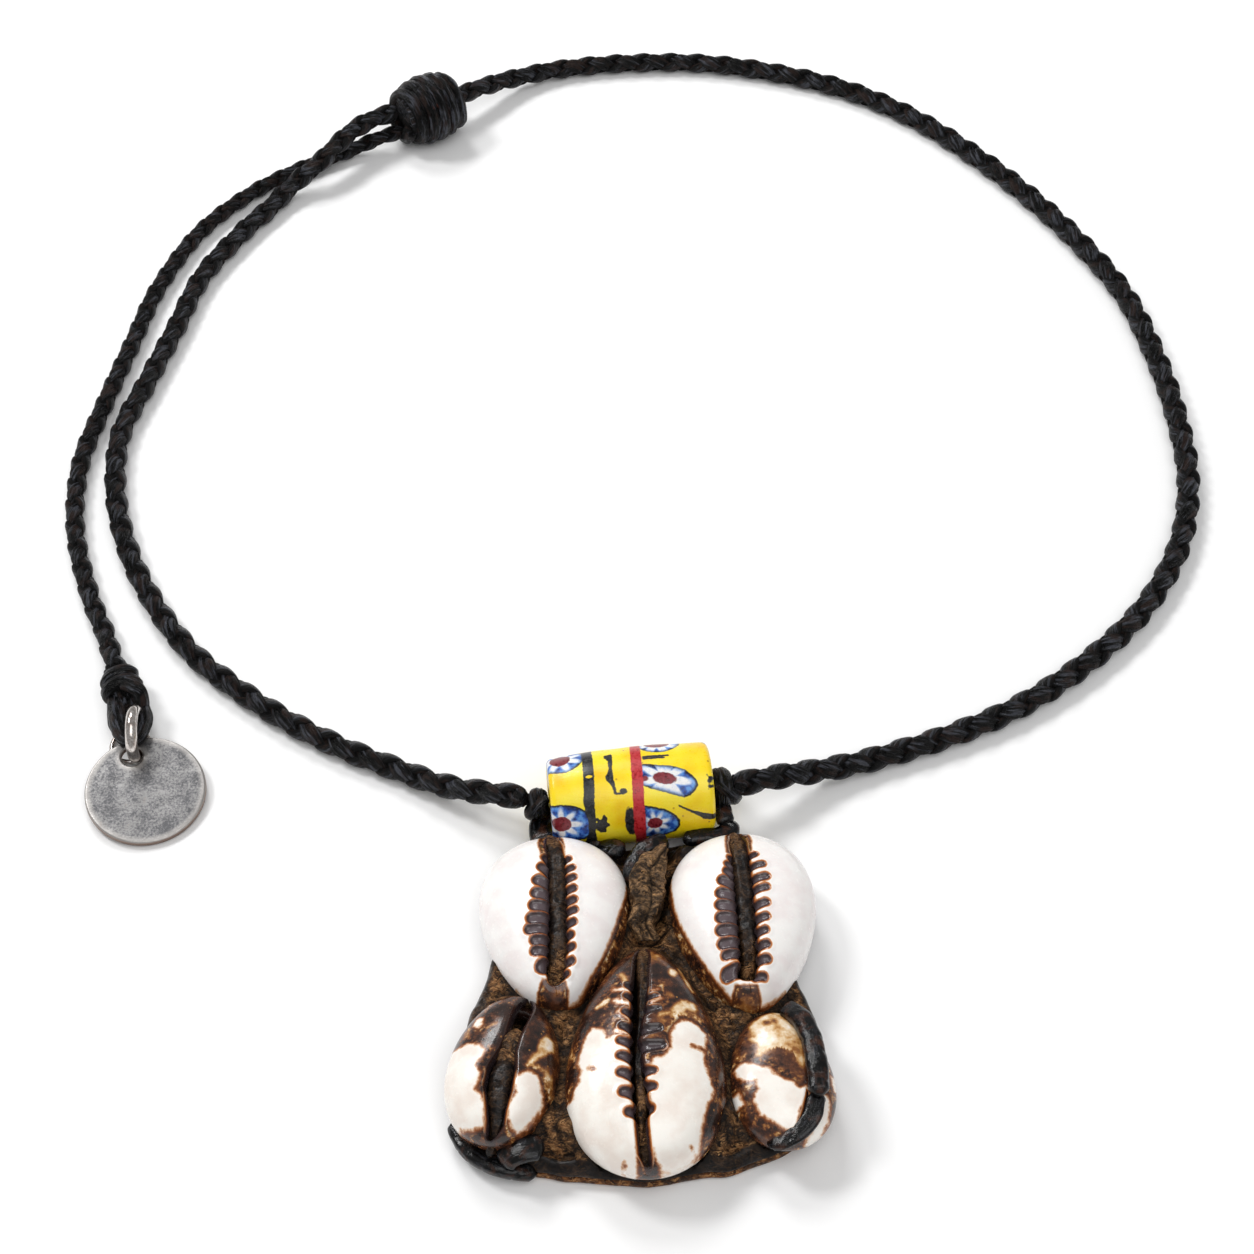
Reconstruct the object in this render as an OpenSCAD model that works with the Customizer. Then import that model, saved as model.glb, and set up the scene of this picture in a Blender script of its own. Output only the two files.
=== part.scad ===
// Cowrie amulet necklace, lying on its back on a flat surface.
// A hide amulet set with five cowrie shells hangs under a glass bead on a braided cord.
// The cord closes in a sliding knot, and its free tail carries a ring and a round metal tag.
// +Z is up, the amulet's back is on z = 0, and the loop lies towards +Y. Millimetres.

/* [Cord] */
// Diameter of the braided neck cord
cord_d = 3.0; // [2.4:0.1:3.2]
// Diameter of the thinner tail cord
tail_d = 2.6; // [2:0.1:2.8]
// Height of a lying cord's lowest edge over the surface
cord_clear = 0.05; // [0.02:0.01:0.2]

/* [Knots] */
// Largest diameter of the sliding knot
slide_knot_d = 9.6; // [9.2:0.1:10]
// Length of the sliding knot
slide_knot_len = 10.0; // [9.6:0.1:10.2]
// Number of cord turns on the sliding knot
slide_knot_turns = 5; // [4:1:6]
// Largest diameter of the wrapped knot over the tag
end_knot_d = 6.4; // [5.6:0.1:7]
// Length of the wrapped knot over the tag
end_knot_len = 4.6; // [4.2:0.1:4.8]
// Diameter of the stopper knot at each end of the bead
stop_knot_d = 5.4; // [5:0.1:5.6]
// Length of each stopper knot along the cord
stop_knot_len = 2.6; // [2.4:0.1:2.8]

/* [Bead] */
// Length of the glass bead
bead_len = 21; // [19.5:0.5:21.5]
// Diameter of the bead's narrow left end
bead_d_left = 11.1; // [10.6:0.1:11.4]
// Diameter of the bead's right end
bead_d_right = 11.9; // [11.4:0.1:12.2]
// Diameter of the bead's belly, near its middle
bead_d_belly = 12.4; // [12.2:0.1:12.4]
// Diameter of the hole along the bead
bead_bore = 4.2; // [3.8:0.1:5]
// Radius of the bead's rounded rims
bead_rim = 1.0; // [0.5:0.1:1.5]
// Height of the bead's axis over the surface
bead_z = 6.3; // [6.3:0.05:6.4]

/* [Hide] */
// Thickness of the flat back hide
back_thick = 1.3; // [1:0.1:1.4]
// Height of the front hide's top over the surface
front_top = 4.6; // [4.2:0.1:4.8]
// Height of the seats cut into the front hide for the shells
seat_z = 2.6; // [2.2:0.1:2.8]

/* [Shells] */
// Gap between a shell and the hide round and under it
shell_gap = 0.3; // [0.2:0.05:0.4]
// Width of the slit along each shell
slit_w = 1.9; // [1.4:0.1:2.2]

/* [Tag] */
// Diameter of the round tag
tag_d = 15.9; // [15.5:0.1:16.2]
// Thickness of the tag
tag_thick = 1.0; // [0.8:0.1:1.1]
// Diameter of the hole in the tag
tag_hole_d = 2.8; // [2.7:0.1:3]
// Lean of the tag, whose holed end lies on the ring, in degrees
tag_lean = 6.5; // [6:0.1:7]
// Wire diameter of the jump ring
ring_wire = 1.4; // [1.2:0.05:1.5]
// Outside diameter of the jump ring
ring_d = 7.4; // [7.2:0.1:7.6]
// Wire diameter of the small ring
small_ring_wire = 0.6; // [0.5:0.05:0.6]
// Outside diameter of the small ring
small_ring_d = 5.9; // [5.8:0.1:6.2]

/* [Hidden] */

// Number of flats round a thin swept cord or thong
cord_sides = 8;
// Facets round an exact circle
round_fn = 64;

// Routes of the cords: points [x, y, z] on the centreline, from the bead or knot outwards
lie = cord_d / 2 + cord_clear;
tail_lie = tail_d / 2 + cord_clear;
right_route = [
    [12.1, 24.2, 6.2], [15.5, 25.3, 5.7], [19, 26.8, 4.6], [24, 28.9, 2.8], [31, 31.4, 1.7], [42, 35.5, lie],
    [52, 40.5, lie], [62, 48, lie], [71, 57.5, lie], [77.5, 69, lie], [80.5, 81.5, lie],
    [80.5, 94.5, lie], [79, 107, lie], [76, 120, lie], [70.5, 131.5, lie], [63.5, 142.5, lie],
    [55.5, 152.5, lie], [46, 162, lie], [35.5, 169, lie], [23.5, 173.5, lie], [11, 176, lie],
    [-2, 176, lie], [-13, 174.3, 1.65], [-19.7, 171.3, 2.4], [-23.4, 168.6, 3.4], [-27, 165.6, 4.4],
    [-30.4, 162.8, 4.9]];
left_route = [
    [-14.7, 22.2, 6.2], [-18.7, 23.6, 5.2], [-22.3, 24.9, 4], [-26.5, 26.9, 2.6], [-31.5, 29.6, 1.65],
    [-39.5, 33.3, lie], [-47, 37.6, lie], [-54.6, 43.1, lie], [-61.7, 49.5, lie], [-67.7, 57.8, lie],
    [-72.7, 67.6, lie], [-76, 78.6, lie], [-76.8, 90.2, lie], [-74.1, 101.3, lie], [-71.2, 112.4, lie],
    [-68.3, 124, lie], [-62.8, 134.4, lie], [-59.4, 139.3, lie], [-57.2, 142.7, 1.8], [-54.9, 145.1, 2.7],
    [-52.3, 146.8, 4], [-50.3, 148.6, 4.9], [-48.2, 151.5, 5.4], [-45.9, 154.4, 5.6], [-43.3, 156.4, 5.8],
    [-39.6, 158.1, 6]];
tail_route = [
    [-38.6, 156.6, 3.2], [-42.5, 155.5, 2.6], [-46, 154.3, 1.7], [-49.3, 152.7, tail_lie],
    [-56, 148.7, tail_lie], [-63, 143, tail_lie], [-70, 134, tail_lie], [-75, 121.5, tail_lie],
    [-77.5, 109.5, tail_lie], [-80, 97, tail_lie], [-82, 84.5, tail_lie], [-81, 72, tail_lie],
    [-77.5, 60.5, tail_lie], [-74.2, 53, 1.6], [-72.4, 48.3, 2.3], [-71.1, 45.2, 2.9]];
// Rings along each cord
right_rings = 36;
left_rings = 27;
tail_rings = 18;

// The bead's axis: its middle, and its turn about Z
bead_at = [-1.2, 22.7];
bead_turn = 6.3;
stop_gap = 0.1;
// How far the stopper knots hang below the bead's axis
stop_drop = 0.1;

// The sliding knot: its middle, and the turn of its axis about Z
slide_at = [-34.6, 160, slide_knot_d / 2 + cord_clear];
slide_turn = 31;

// The wrapped knot over the tag, and the cord eye under it
end_at = [-70.3, 42.9, end_knot_d / 2 + cord_clear];
end_turn = -74;
eye_route = [
    [-71, 40.2, 3.2], [-70.8, 37.8, 3.5], [-70.1, 35.2, 3.9], [-69, 33.5, 4.2], [-67.8, 33, 4.3],
    [-66.8, 33.8, 4.1], [-66.3, 36, 3.7], [-66.8, 38.6, 3.4], [-67.8, 41.1, 3.2]];
eye_d = 2.2;

// The tag: its middle, and the turn that brings its hole over the ring
tag_at = [-65.3, 26.6];
tag_turn = -65;
hole_inset = 2.5;
// The rings: the jump ring stands on the surface, inside the flat small ring
jump_at = [-67.9, 33.7];
jump_turn = -82;
small_at = [-68.4, 34.1];

// Outline of the front hide, counter-clockwise from the bottom middle
front_outline = [
    [1, -29.1], [6, -28.5], [11.5, -27.4], [16.8, -25.4], [20.6, -22.2], [22.5, -18.2], [22.5, -13],
    [20.5, -6], [18, 1], [16.4, 8], [15.2, 14], [14.2, 17.8], [12.4, 19.4], [10, 18.4], [6, 17.7], [0, 17.2],
    [-6, 16.6], [-11, 15.8], [-14, 13], [-16.4, 6], [-18.6, -2], [-21, -9], [-21.9, -15], [-21, -20.5],
    [-18.8, -24.2], [-15, -27], [-9, -28.5], [-4, -28.9]];
// How far the flat back hide shows past the front hide
back_past = 0.6;
front_rings = 60;

// Each shell: [name, x, y, turn, length, width, height, egg, slit shift, broad end's side]
shells = [
    ["upper_left", -10.9, 4.0, 3, 23.8, 18.4, 7.8, 0.24, 0.8, 1],
    ["upper_right", 13.1, 4.0, 3, 24.6, 17.8, 7.8, 0.24, 0.3, 1],
    ["centre", 0.5, -15.2, 0, 30.0, 18.8, 8.4, 0.28, -0.7, -1],
    ["lower_left", -16.1, -16.7, -11, 19.6, 13.6, 7.0, 0.12, 0.2, -1],
    ["lower_right", 16.7, -17.6, 8, 17.2, 12.6, 5.2, 0.15, 2.6, -1]];

function shell_row(name) = [for (s = shells) if (s[0] == name) s][0];

// A smooth curve through four points, at share t between the middle two
function curve_at(a, b, c, d, t) =
    0.5 * (2 * b + (c - a) * t + (2 * a - 5 * b + 4 * c - d) * t * t + (3 * b - a - 3 * c + d) * t * t * t);
// A smooth open curve through a route's points, each stretch cut in parts
function open_curve(p, parts = 6) = concat(
    [for (i = [0 : len(p) - 2]) for (j = [0 : parts - 1])
        curve_at(p[max(i - 1, 0)], p[i], p[i + 1], p[min(i + 2, len(p) - 1)], j / parts)],
    [p[len(p) - 1]]);
// A smooth closed curve through an outline's points
function closed_curve(p, parts = 6) =
    [for (i = [0 : len(p) - 1]) for (j = [0 : parts - 1])
        curve_at(p[(i + len(p) - 1) % len(p)], p[i], p[(i + 1) % len(p)], p[(i + 2) % len(p)], j / parts)];
// The distance run along a line at each of its points
function runs(p) = [for (i = 0, s = 0; i < len(p);
    s = i + 1 < len(p) ? s + norm(p[i + 1] - p[i]) : s, i = i + 1) s];
function point_at(p, s, d) =
    let (i = max([for (k = [0 : len(s) - 2]) if (s[k] <= d) k]))
    p[i] + (p[i + 1] - p[i]) * (d - s[i]) / (s[i + 1] - s[i]);
// Spaced points along a line: evenly for ease 0, and closer near both ends for a larger ease
function spaced(p, n, ease = 0) =
    let (s = runs(p), total = s[len(s) - 1])
    [for (i = [0 : n])
        let (share = i / n - ease * sin(360 * i / n) / (2 * PI))
        point_at(p, s, min(total * share, total - 0.001))];
function unit(v) = v / norm(v);

// A closed solid through rings of equal count, capped at both ends.
// Each ring runs counter-clockwise, seen from the last ring's side.
module loft(rings) {
    n = len(rings[0]);
    m = len(rings);
    polyhedron(
        points = [for (ring = rings) for (p = ring) p],
        faces = concat(
            [[for (j = [0 : n - 1]) j]],
            [for (i = [0 : m - 2]) for (j = [0 : n - 1])
                [i * n + j, (i + 1) * n + j, i * n + (j + 1) % n]],
            [for (i = [0 : m - 2]) for (j = [0 : n - 1])
                [i * n + (j + 1) % n, (i + 1) * n + j, (i + 1) * n + (j + 1) % n]],
            [[for (j = [n - 1 : -1 : 0]) (m - 1) * n + j]]),
        convexity = 6);
}

// A band of oval section swept along a line of points, flat ends square to the line
module sweep(line, half_w, half_h, sides) {
    last = len(line) - 1;
    loft([for (i = [0 : last])
        let (t = unit(line[min(i + 1, last)] - line[max(i - 1, 0)]),
             side = unit(cross(t, [0, 0, 1])),
             up = cross(side, t))
        [for (k = [0 : sides - 1])
            let (a = 360 * k / sides - 90)
            line[i] - side * half_w * cos(a) + up * half_h * sin(a)]]);
}

module cord_tube(route, d, rings) {
    sweep(spaced(open_curve(route), rings, 0.55), d / 2, d / 2, cord_sides);
}

// A knot of turns wound side by side along Z: one rounded ridge for each turn, of its own diameter
module wound_knot(turn_d, long) {
    turns = len(turn_d);
    pitch = long / turns;
    ridge = pitch * 0.56;
    rotate_extrude($fn = round_fn) {
        for (i = [0 : turns - 1])
            translate([turn_d[i] / 2 - ridge, -long / 2 + pitch * (i + 0.5)])
                intersection() {
                    circle(r = ridge);
                    translate([-ridge / 4, -pitch / 2]) square([2 * ridge, pitch]);
                }
        for (i = [0 : turns - 1])
            translate([0, -long / 2 + pitch * i]) square([turn_d[i] / 2 - ridge, pitch]);
    }
}

// Height of the front hide's top at a place along Y: it thins towards the bead
function front_height(y) =
    y < 11 ? front_top : y > 17.5 ? 1.9 : front_top + (1.9 - front_top) * (y - 11) / 6.5;
middle = [0, -4];
function inset(p, by) = p - unit(p - middle) * by;

module hide_back() {
    color("#4a3526")
    linear_extrude(back_thick)
        polygon([for (p = closed_curve(front_outline, 2)) inset(p, -back_past)]);
}

// Each column is [inset of the ring, share of the plan, share of the height over the back hide]
front_profile = [
    [0.4, 1, 0], [0, 1, 0.3], [0.1, 1, 0.6], [0.8, 1, 0.88],
    [2.2, 1, 1], [2.2, 0.75, 1], [2.2, 0.5, 1], [2.2, 0.2, 1]];

module hide_front() {
    line = [for (p = spaced(closed_curve(front_outline), front_rings)) [p[0], p[1]]];
    low = back_thick + 0.1;
    color("#3a2a1e")
    difference() {
        loft([for (c = front_profile)
            [for (i = [0 : front_rings - 1])
                let (p = middle + (inset(line[i], c[0]) - middle) * c[1])
                [p[0], p[1], low + c[2] * (front_height(p[1]) - low)]]]);
        for (s = shells) shell_seat(s);
    }
}

// The largest width of the egg curve of bias k, before it is scaled
function egg_peak(k) = let (c = (sqrt(1 + 8 * k * k) - 1) / (4 * k)) sqrt(1 - c * c) * (1 + k * c);
// The egg outline of a shell: its broad end is towards +Y at side 1, and towards -Y at side -1
function egg(s, grow, n) =
    let (k = s[7], side = s[9])
    [for (i = [0 : n - 1])
        let (a = 360 * i / n, wide = (1 + k * cos(a)) / egg_peak(k))
        [-side * (s[5] / 2 + grow) * sin(a) * wide, side * (s[4] / 2 + grow) * cos(a)]];

module place_shell(s) {
    translate([s[1], s[2], 0]) rotate(s[3]) children();
}

module shell_seat(s) {
    place_shell(s)
        translate([0, 0, seat_z]) linear_extrude(10) polygon(egg(s, shell_gap, 28));
}

// Each column is [share of the plan, share of the height] of a shell's outside, rim first
shell_profile = [[0.88, 0], [0.975, 0.14], [1, 0.32], [0.95, 0.58], [0.8, 0.8], [0.56, 0.94], [0.2, 1]];
// The same for its hollow
hollow_profile = [[0.78, -0.2], [0.8, 0.3], [0.66, 0.58], [0.4, 0.72], [0.1, 0.76]];

module shell_form(s, profile, n, z) {
    loft([for (c = profile)
        [for (p = egg(s, 0, n)) [p[0] * c[0], p[1] * c[0], z + s[6] * c[1]]]]);
}

// A slit runs the whole length of the shell, wider in its upper half, with a channel at each end
module shell_slit(s) {
    half = s[4] / 2;
    z = seat_z + shell_gap;
    ys = [-0.93, -0.7, -0.4, 0, 0.4, 0.75, 0.93];
    wide = [0.5, 0.55, 0.7, 1, 1.1, 0.9, 0.5];
    bow = s[8];
    left = [for (i = [0 : 6]) [bow * (1 - ys[i] * ys[i]) - slit_w / 2 * wide[i], ys[i] * half]];
    right = [for (i = [6 : -1 : 0]) [bow * (1 - ys[i] * ys[i]) + slit_w / 2 * wide[i], ys[i] * half]];
    translate([0, 0, z + s[6] * 0.5]) linear_extrude(s[6]) polygon(concat(right, left));
}

module cowrie(name) {
    s = shell_row(name);
    color(name == "upper_left" || name == "upper_right" ? "#f2ebe4" : "#d9c7b2")
    place_shell(s)
        difference() {
            shell_form(s, shell_profile, 28, seat_z + shell_gap);
            shell_form(s, hollow_profile, 20, seat_z + shell_gap);
            shell_slit(s);
        }
}

// The rough hide that is folded up between the two upper shells
// Each row is [y, x, half width, bottom, top]
fold_rows = [
    [0.7, 1.5, 1.5, 4.8, 6.1], [2.6, 1.3, 1.8, 4.8, 7], [5.5, 1.2, 1.7, 4.8, 7.4],
    [9, 2.1, 1.6, 4.8, 7.6], [12, 2.6, 1.7, 4.8, 7.4], [13.6, 2.8, 1.3, 4.9, 6.2]];

module hide_fold() {
    color("#5b4636")
    loft([for (r = fold_rows)
        let (mid = (r[3] + r[4]) / 2, tall = (r[4] - r[3]) / 2)
        [for (k = [0 : 9])
            let (a = 36 * k, c = cos(a), d = sin(a))
            [r[1] + r[2] * sign(c) * pow(abs(c), 0.7), r[0], mid - tall * sign(d) * pow(abs(d), 0.7)]]]);
}

// Black leather strips and thongs: each has a route and an oval section
module leather_strip(route, half_w, half_h, rings, tint) {
    color(tint) sweep(spaced(open_curve(route), rings), half_w, half_h, 8);
}

module strip_left() {
    leather_strip([[-22.1, -21.4, 2.1], [-21.4, -23.7, 2.2], [-20, -25.6, 2.2], [-18.2, -26.9, 2.2],
        [-16.5, -27.7, 2.2]], 0.8, 0.8, 9, "#1d1a19");
}
module strip_tab() {
    leather_strip([[-15.7, -28.3, 3.4], [-15, -27.5, 5.2], [-13.5, -26.7, 5.8], [-11.7, -26.3, 5.7]],
        1.1, 0.9, 8, "#1d1a19");
}
module strip_right() {
    leather_strip([[17.5, -8.3, 5.9], [19.2, -10.4, 7.4], [20.3, -13.3, 8.4], [20.8, -16.2, 8.8],
        [21, -19.1, 8.8], [21.2, -21.5, 8.4]], 1.05, 0.95, 12, "#1f1b1b");
}
module thong_left() {
    leather_strip([[-5.1, 15.6, 3.7], [-4.3, 15.2, 4.8], [-3.2, 14.7, 5.4], [-2.4, 13.7, 5.6]],
        1.0, 0.9, 6, "#232021");
}
module thong_centre() {
    leather_strip([[3.6, 15.4, 6.2], [1.8, 15.4, 7.0], [0, 14.5, 7.2], [-0.8, 12.4, 6.6], [-0.9, 10, 5.9]],
        0.8, 0.75, 9, "#232021");
}
module thong_right() {
    leather_strip([[12.4, 19.6, 4.6], [11.6, 18.2, 4.6], [9.9, 16.7, 5.1], [7.6, 16.3, 5.3],
        [5.6, 15.6, 5.3]], 0.8, 0.8, 9, "#232021");
}

// The bead, along its own axis from its left end
module along_bead() {
    translate([bead_at[0], bead_at[1], bead_z]) rotate([0, 0, bead_turn]) rotate([0, 90, 0]) children();
}

module trade_bead() {
    a = bead_d_left / 2;
    b = bead_d_right / 2;
    belly = bead_d_belly / 2;
    color("#f2c81a")
    along_bead()
        rotate_extrude($fn = round_fn)
            polygon([[bead_bore / 2, -bead_len / 2], [a - bead_rim, -bead_len / 2],
                [a - bead_rim * 0.3, -bead_len / 2 + bead_rim * 0.3], [a, -bead_len / 2 + bead_rim],
                [a * 0.35 + belly * 0.65, -bead_len * 0.25], [belly, bead_len * 0.02],
                [b * 0.3 + belly * 0.7, bead_len * 0.28], [b, bead_len / 2 - bead_rim], [b - bead_rim * 0.3, bead_len / 2 - bead_rim * 0.3],
                [b - bead_rim, bead_len / 2], [bead_bore / 2, bead_len / 2]]);
}

module cord_core() {
    color("#171616") along_bead() cylinder(d = cord_d, h = bead_len - 0.1, center = true, $fn = round_fn);
}
module at_stop_knot(side) {
    translate([0, 0, -stop_drop])
        along_bead()
            translate([0, 0, side * (bead_len / 2 + stop_gap + stop_knot_len / 2)]) children();
}
module knot_right() {
    color("#171616") at_stop_knot(1) wound_knot([stop_knot_d, stop_knot_d - 0.6], stop_knot_len);
}
module knot_left() {
    color("#171616") at_stop_knot(-1) wound_knot([stop_knot_d - 0.6, stop_knot_d], stop_knot_len);
}

module cord_right() { color("#171616") cord_tube(right_route, cord_d, right_rings); }
module cord_left() { color("#171616") cord_tube(left_route, cord_d, left_rings); }
module cord_tail() { color("#171616") cord_tube(tail_route, tail_d, tail_rings); }

module sliding_knot() {
    color("#1a1818")
    translate(slide_at) rotate([0, 0, slide_turn]) rotate([0, 90, 0])
        wound_knot([for (i = [0 : slide_knot_turns - 1])
            slide_knot_d - 1.3 * pow(abs(2 * i / (slide_knot_turns - 1) - 1), 2)], slide_knot_len);
}

module end_knot() {
    color("#1a1818")
    translate(end_at) rotate([0, 0, end_turn]) rotate([0, 90, 0])
        wound_knot([end_knot_d - 1.4, end_knot_d], end_knot_len);
}
module cord_eye() {
    color("#171616") sweep(spaced(open_curve(eye_route), 16), eye_d / 2, eye_d / 2, cord_sides);
}

// The tag lies on its low edge with its holed end on the ring's wire
module at_tag() {
    translate([tag_at[0], tag_at[1], tag_d / 2 * sin(tag_lean) + 0.05])
        rotate([0, 0, tag_turn]) rotate([0, tag_lean, 0]) children();
}
module tag_disc() {
    r = tag_d / 2;
    e = tag_thick * 0.3;
    color("#a7a6a3")
    at_tag()
        difference() {
            rotate_extrude($fn = 96)
                polygon([[0, 0], [r - e, 0], [r, e], [r, tag_thick - e], [r - e, tag_thick], [0, tag_thick]]);
            translate([-r + hole_inset, 0, -1]) cylinder(d = tag_hole_d, h = tag_thick + 2, $fn = round_fn);
        }
}

module ring(d, wire) {
    rotate_extrude($fn = round_fn) translate([d / 2 - wire / 2, 0]) circle(d = wire, $fn = 32);
}
module jump_ring() {
    color("#c9c7c4")
    translate([jump_at[0], jump_at[1], ring_d / 2 + 0.05])
        rotate([0, 0, jump_turn]) rotate([90, 0, 0]) ring(ring_d, ring_wire);
}
module small_ring() {
    color("#c9c7c4")
    translate([small_at[0], small_at[1], small_ring_wire / 2 + 0.05]) ring(small_ring_d, small_ring_wire);
}

hide_back();
hide_front();
hide_fold();
strip_left();
strip_tab();
strip_right();
thong_left();
thong_centre();
thong_right();
cowrie("upper_left");  // cowrie_upper_left
cowrie("upper_right");  // cowrie_upper_right
cowrie("centre");  // cowrie_centre
cowrie("lower_left");  // cowrie_lower_left
cowrie("lower_right");  // cowrie_lower_right
trade_bead();
cord_core();
knot_left();
knot_right();
cord_right();
cord_left();
cord_tail();
sliding_knot();
end_knot();
cord_eye();
jump_ring();
small_ring();
tag_disc();
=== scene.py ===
import bpy
import numpy as np
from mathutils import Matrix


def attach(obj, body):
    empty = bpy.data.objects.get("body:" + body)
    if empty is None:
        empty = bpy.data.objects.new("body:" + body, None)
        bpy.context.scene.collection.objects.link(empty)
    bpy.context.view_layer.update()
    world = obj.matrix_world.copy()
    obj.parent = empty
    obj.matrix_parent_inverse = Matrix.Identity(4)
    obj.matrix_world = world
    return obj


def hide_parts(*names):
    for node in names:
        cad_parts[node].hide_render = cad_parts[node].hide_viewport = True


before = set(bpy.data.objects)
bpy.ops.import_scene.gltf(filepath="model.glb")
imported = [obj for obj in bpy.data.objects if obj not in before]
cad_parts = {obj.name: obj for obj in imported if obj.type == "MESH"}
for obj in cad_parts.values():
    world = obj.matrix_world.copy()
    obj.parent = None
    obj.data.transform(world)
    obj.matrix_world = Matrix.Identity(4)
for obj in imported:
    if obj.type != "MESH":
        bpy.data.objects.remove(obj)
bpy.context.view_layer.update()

# The table: white studio paper under wide soft lamps, seen from above and in front.
# The camera stands where the photograph's did: 52 degrees up, 265 mm over the paper.


def paint(code):
    """An sRGB hex colour as linear red, green, blue and full cover."""
    shares = [int(code[i:i + 2], 16) / 255 for i in (1, 3, 5)]
    return tuple(s / 12.92 if s <= 0.04045 else ((s + 0.055) / 1.055) ** 2.4 for s in shares) + (1.0,)


def finish_named(name):
    """An empty material."""
    material = bpy.data.materials.new(name)
    material.use_nodes = True
    material.node_tree.nodes.clear()
    return material


def add(material, kind, sockets=None, stops=None, out=0, **settings):
    """One node of a material: its settings, its sockets (a value, or another node's output to link
    in), and the stops (place, colour) of a ramp. Gives one of the node's outputs."""
    node = material.node_tree.nodes.new("ShaderNode" + kind)
    for key, value in settings.items():
        setattr(node, key, value)
    for key, value in (sockets or {}).items():
        if isinstance(value, bpy.types.NodeSocket):
            material.node_tree.links.new(value, node.inputs[key])
        else:
            node.inputs[key].default_value = value
    if stops:
        ramp = node.color_ramp.elements
        ramp[0].position, ramp[0].color = stops[0]
        ramp[1].position, ramp[1].color = stops[-1]
        for place, colour in stops[1:-1]:
            ramp.new(place).color = colour
    return node.outputs[out] if node.outputs else None


def in_mm(m):
    """A place on the piece in mm, on which its patterns are laid."""
    return add(m, "Mapping", {"Vector": add(m, "TexCoord", out="Object"), "Scale": (1000, 1000, 1000)})


def drawn_out(m, place, scale, turn=0.0, detail=2.0, roughness=0.5):
    """Noise drawn out along one way, as threads, fibres, creases and scratches are."""
    place = add(m, "Mapping", {"Vector": place, "Rotation": (0, 0, turn), "Scale": scale})
    return add(m, "TexNoise", {"Vector": place, "Scale": 1.0, "Detail": detail, "Roughness": roughness})


# Studio paper: matt and nearly white, with a faint tooth of 0.3 mm
studio_paper = finish_named("studio_paper")
spot = add(studio_paper, "TexCoord", out="Object")
tooth = add(studio_paper, "TexNoise", {"Vector": spot, "Scale": 3000.0})
rise = add(studio_paper, "Bump", {"Height": tooth, "Strength": 0.05, "Distance": 0.0001})
paper = add(studio_paper, "BsdfPrincipled", {
    "Base Color": paint("#fbfbfb"), "Roughness": 0.9, "Specular IOR Level": 0.1, "Normal": rise})
add(studio_paper, "OutputMaterial", {"Surface": paper})

sheet = bpy.data.meshes.new("paper")
sheet.from_pydata([(-3, -3, 0), (3, -3, 0), (3, 3, 0), (-3, 3, 0)], [], [(0, 1, 2, 3)])
sheet.materials.append(studio_paper)
floor = bpy.data.objects.new("paper", sheet)
bpy.context.scene.collection.objects.link(floor)

room = bpy.data.worlds.new("studio")
room.use_nodes = True
room.node_tree.nodes["Background"].inputs["Color"].default_value = (1, 1, 1, 1)
room.node_tree.nodes["Background"].inputs["Strength"].default_value = 0.38
bpy.context.scene.world = room
bpy.context.scene.view_settings.view_transform = "Standard"

# Each lamp: name, place, turn in degrees, side in metres, watts
for name, place, turn, side, watts in (
        ("window_left", (-0.55, 0.35, 0.75), (-25, -36, 0), 0.22, 3.4),
        ("window_back", (-0.28, 0.75, 0.8), (-42, -16, 0), 0.3, 3.6),
        ("ceiling", (0.2, -0.35, 1.0), (19, 11, 0), 0.8, 4.0)):
    lamp = bpy.data.lights.new(name, "AREA")
    lamp.size, lamp.energy = side, watts
    stand = bpy.data.objects.new(name, lamp)
    stand.location = place
    stand.rotation_euler = np.radians(turn)
    bpy.context.scene.collection.objects.link(stand)

lens = bpy.data.cameras.new("camera")
lens.lens, lens.clip_start = 68.9, 0.01
camera = bpy.data.objects.new("camera", lens)
camera.location = (-0.0016, -0.1518, 0.265)
camera.rotation_euler = (np.radians(38), 0, 0)
bpy.context.scene.collection.objects.link(camera)
bpy.context.scene.camera = camera

# The neck cord: waxed black cotton braided round from four strands, 3 mm across, and 2.6 mm on
# the free tail. It lies on the paper, rises to the bead at one end and into the knot at the other.
cord_d, tail_d = 3.0, 2.6
braid_over = 1.09                             # how much fuller a braid is drawn than its solid
lie, tail_lie = cord_d / 2 + 0.05, tail_d / 2 + 0.05
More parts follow.
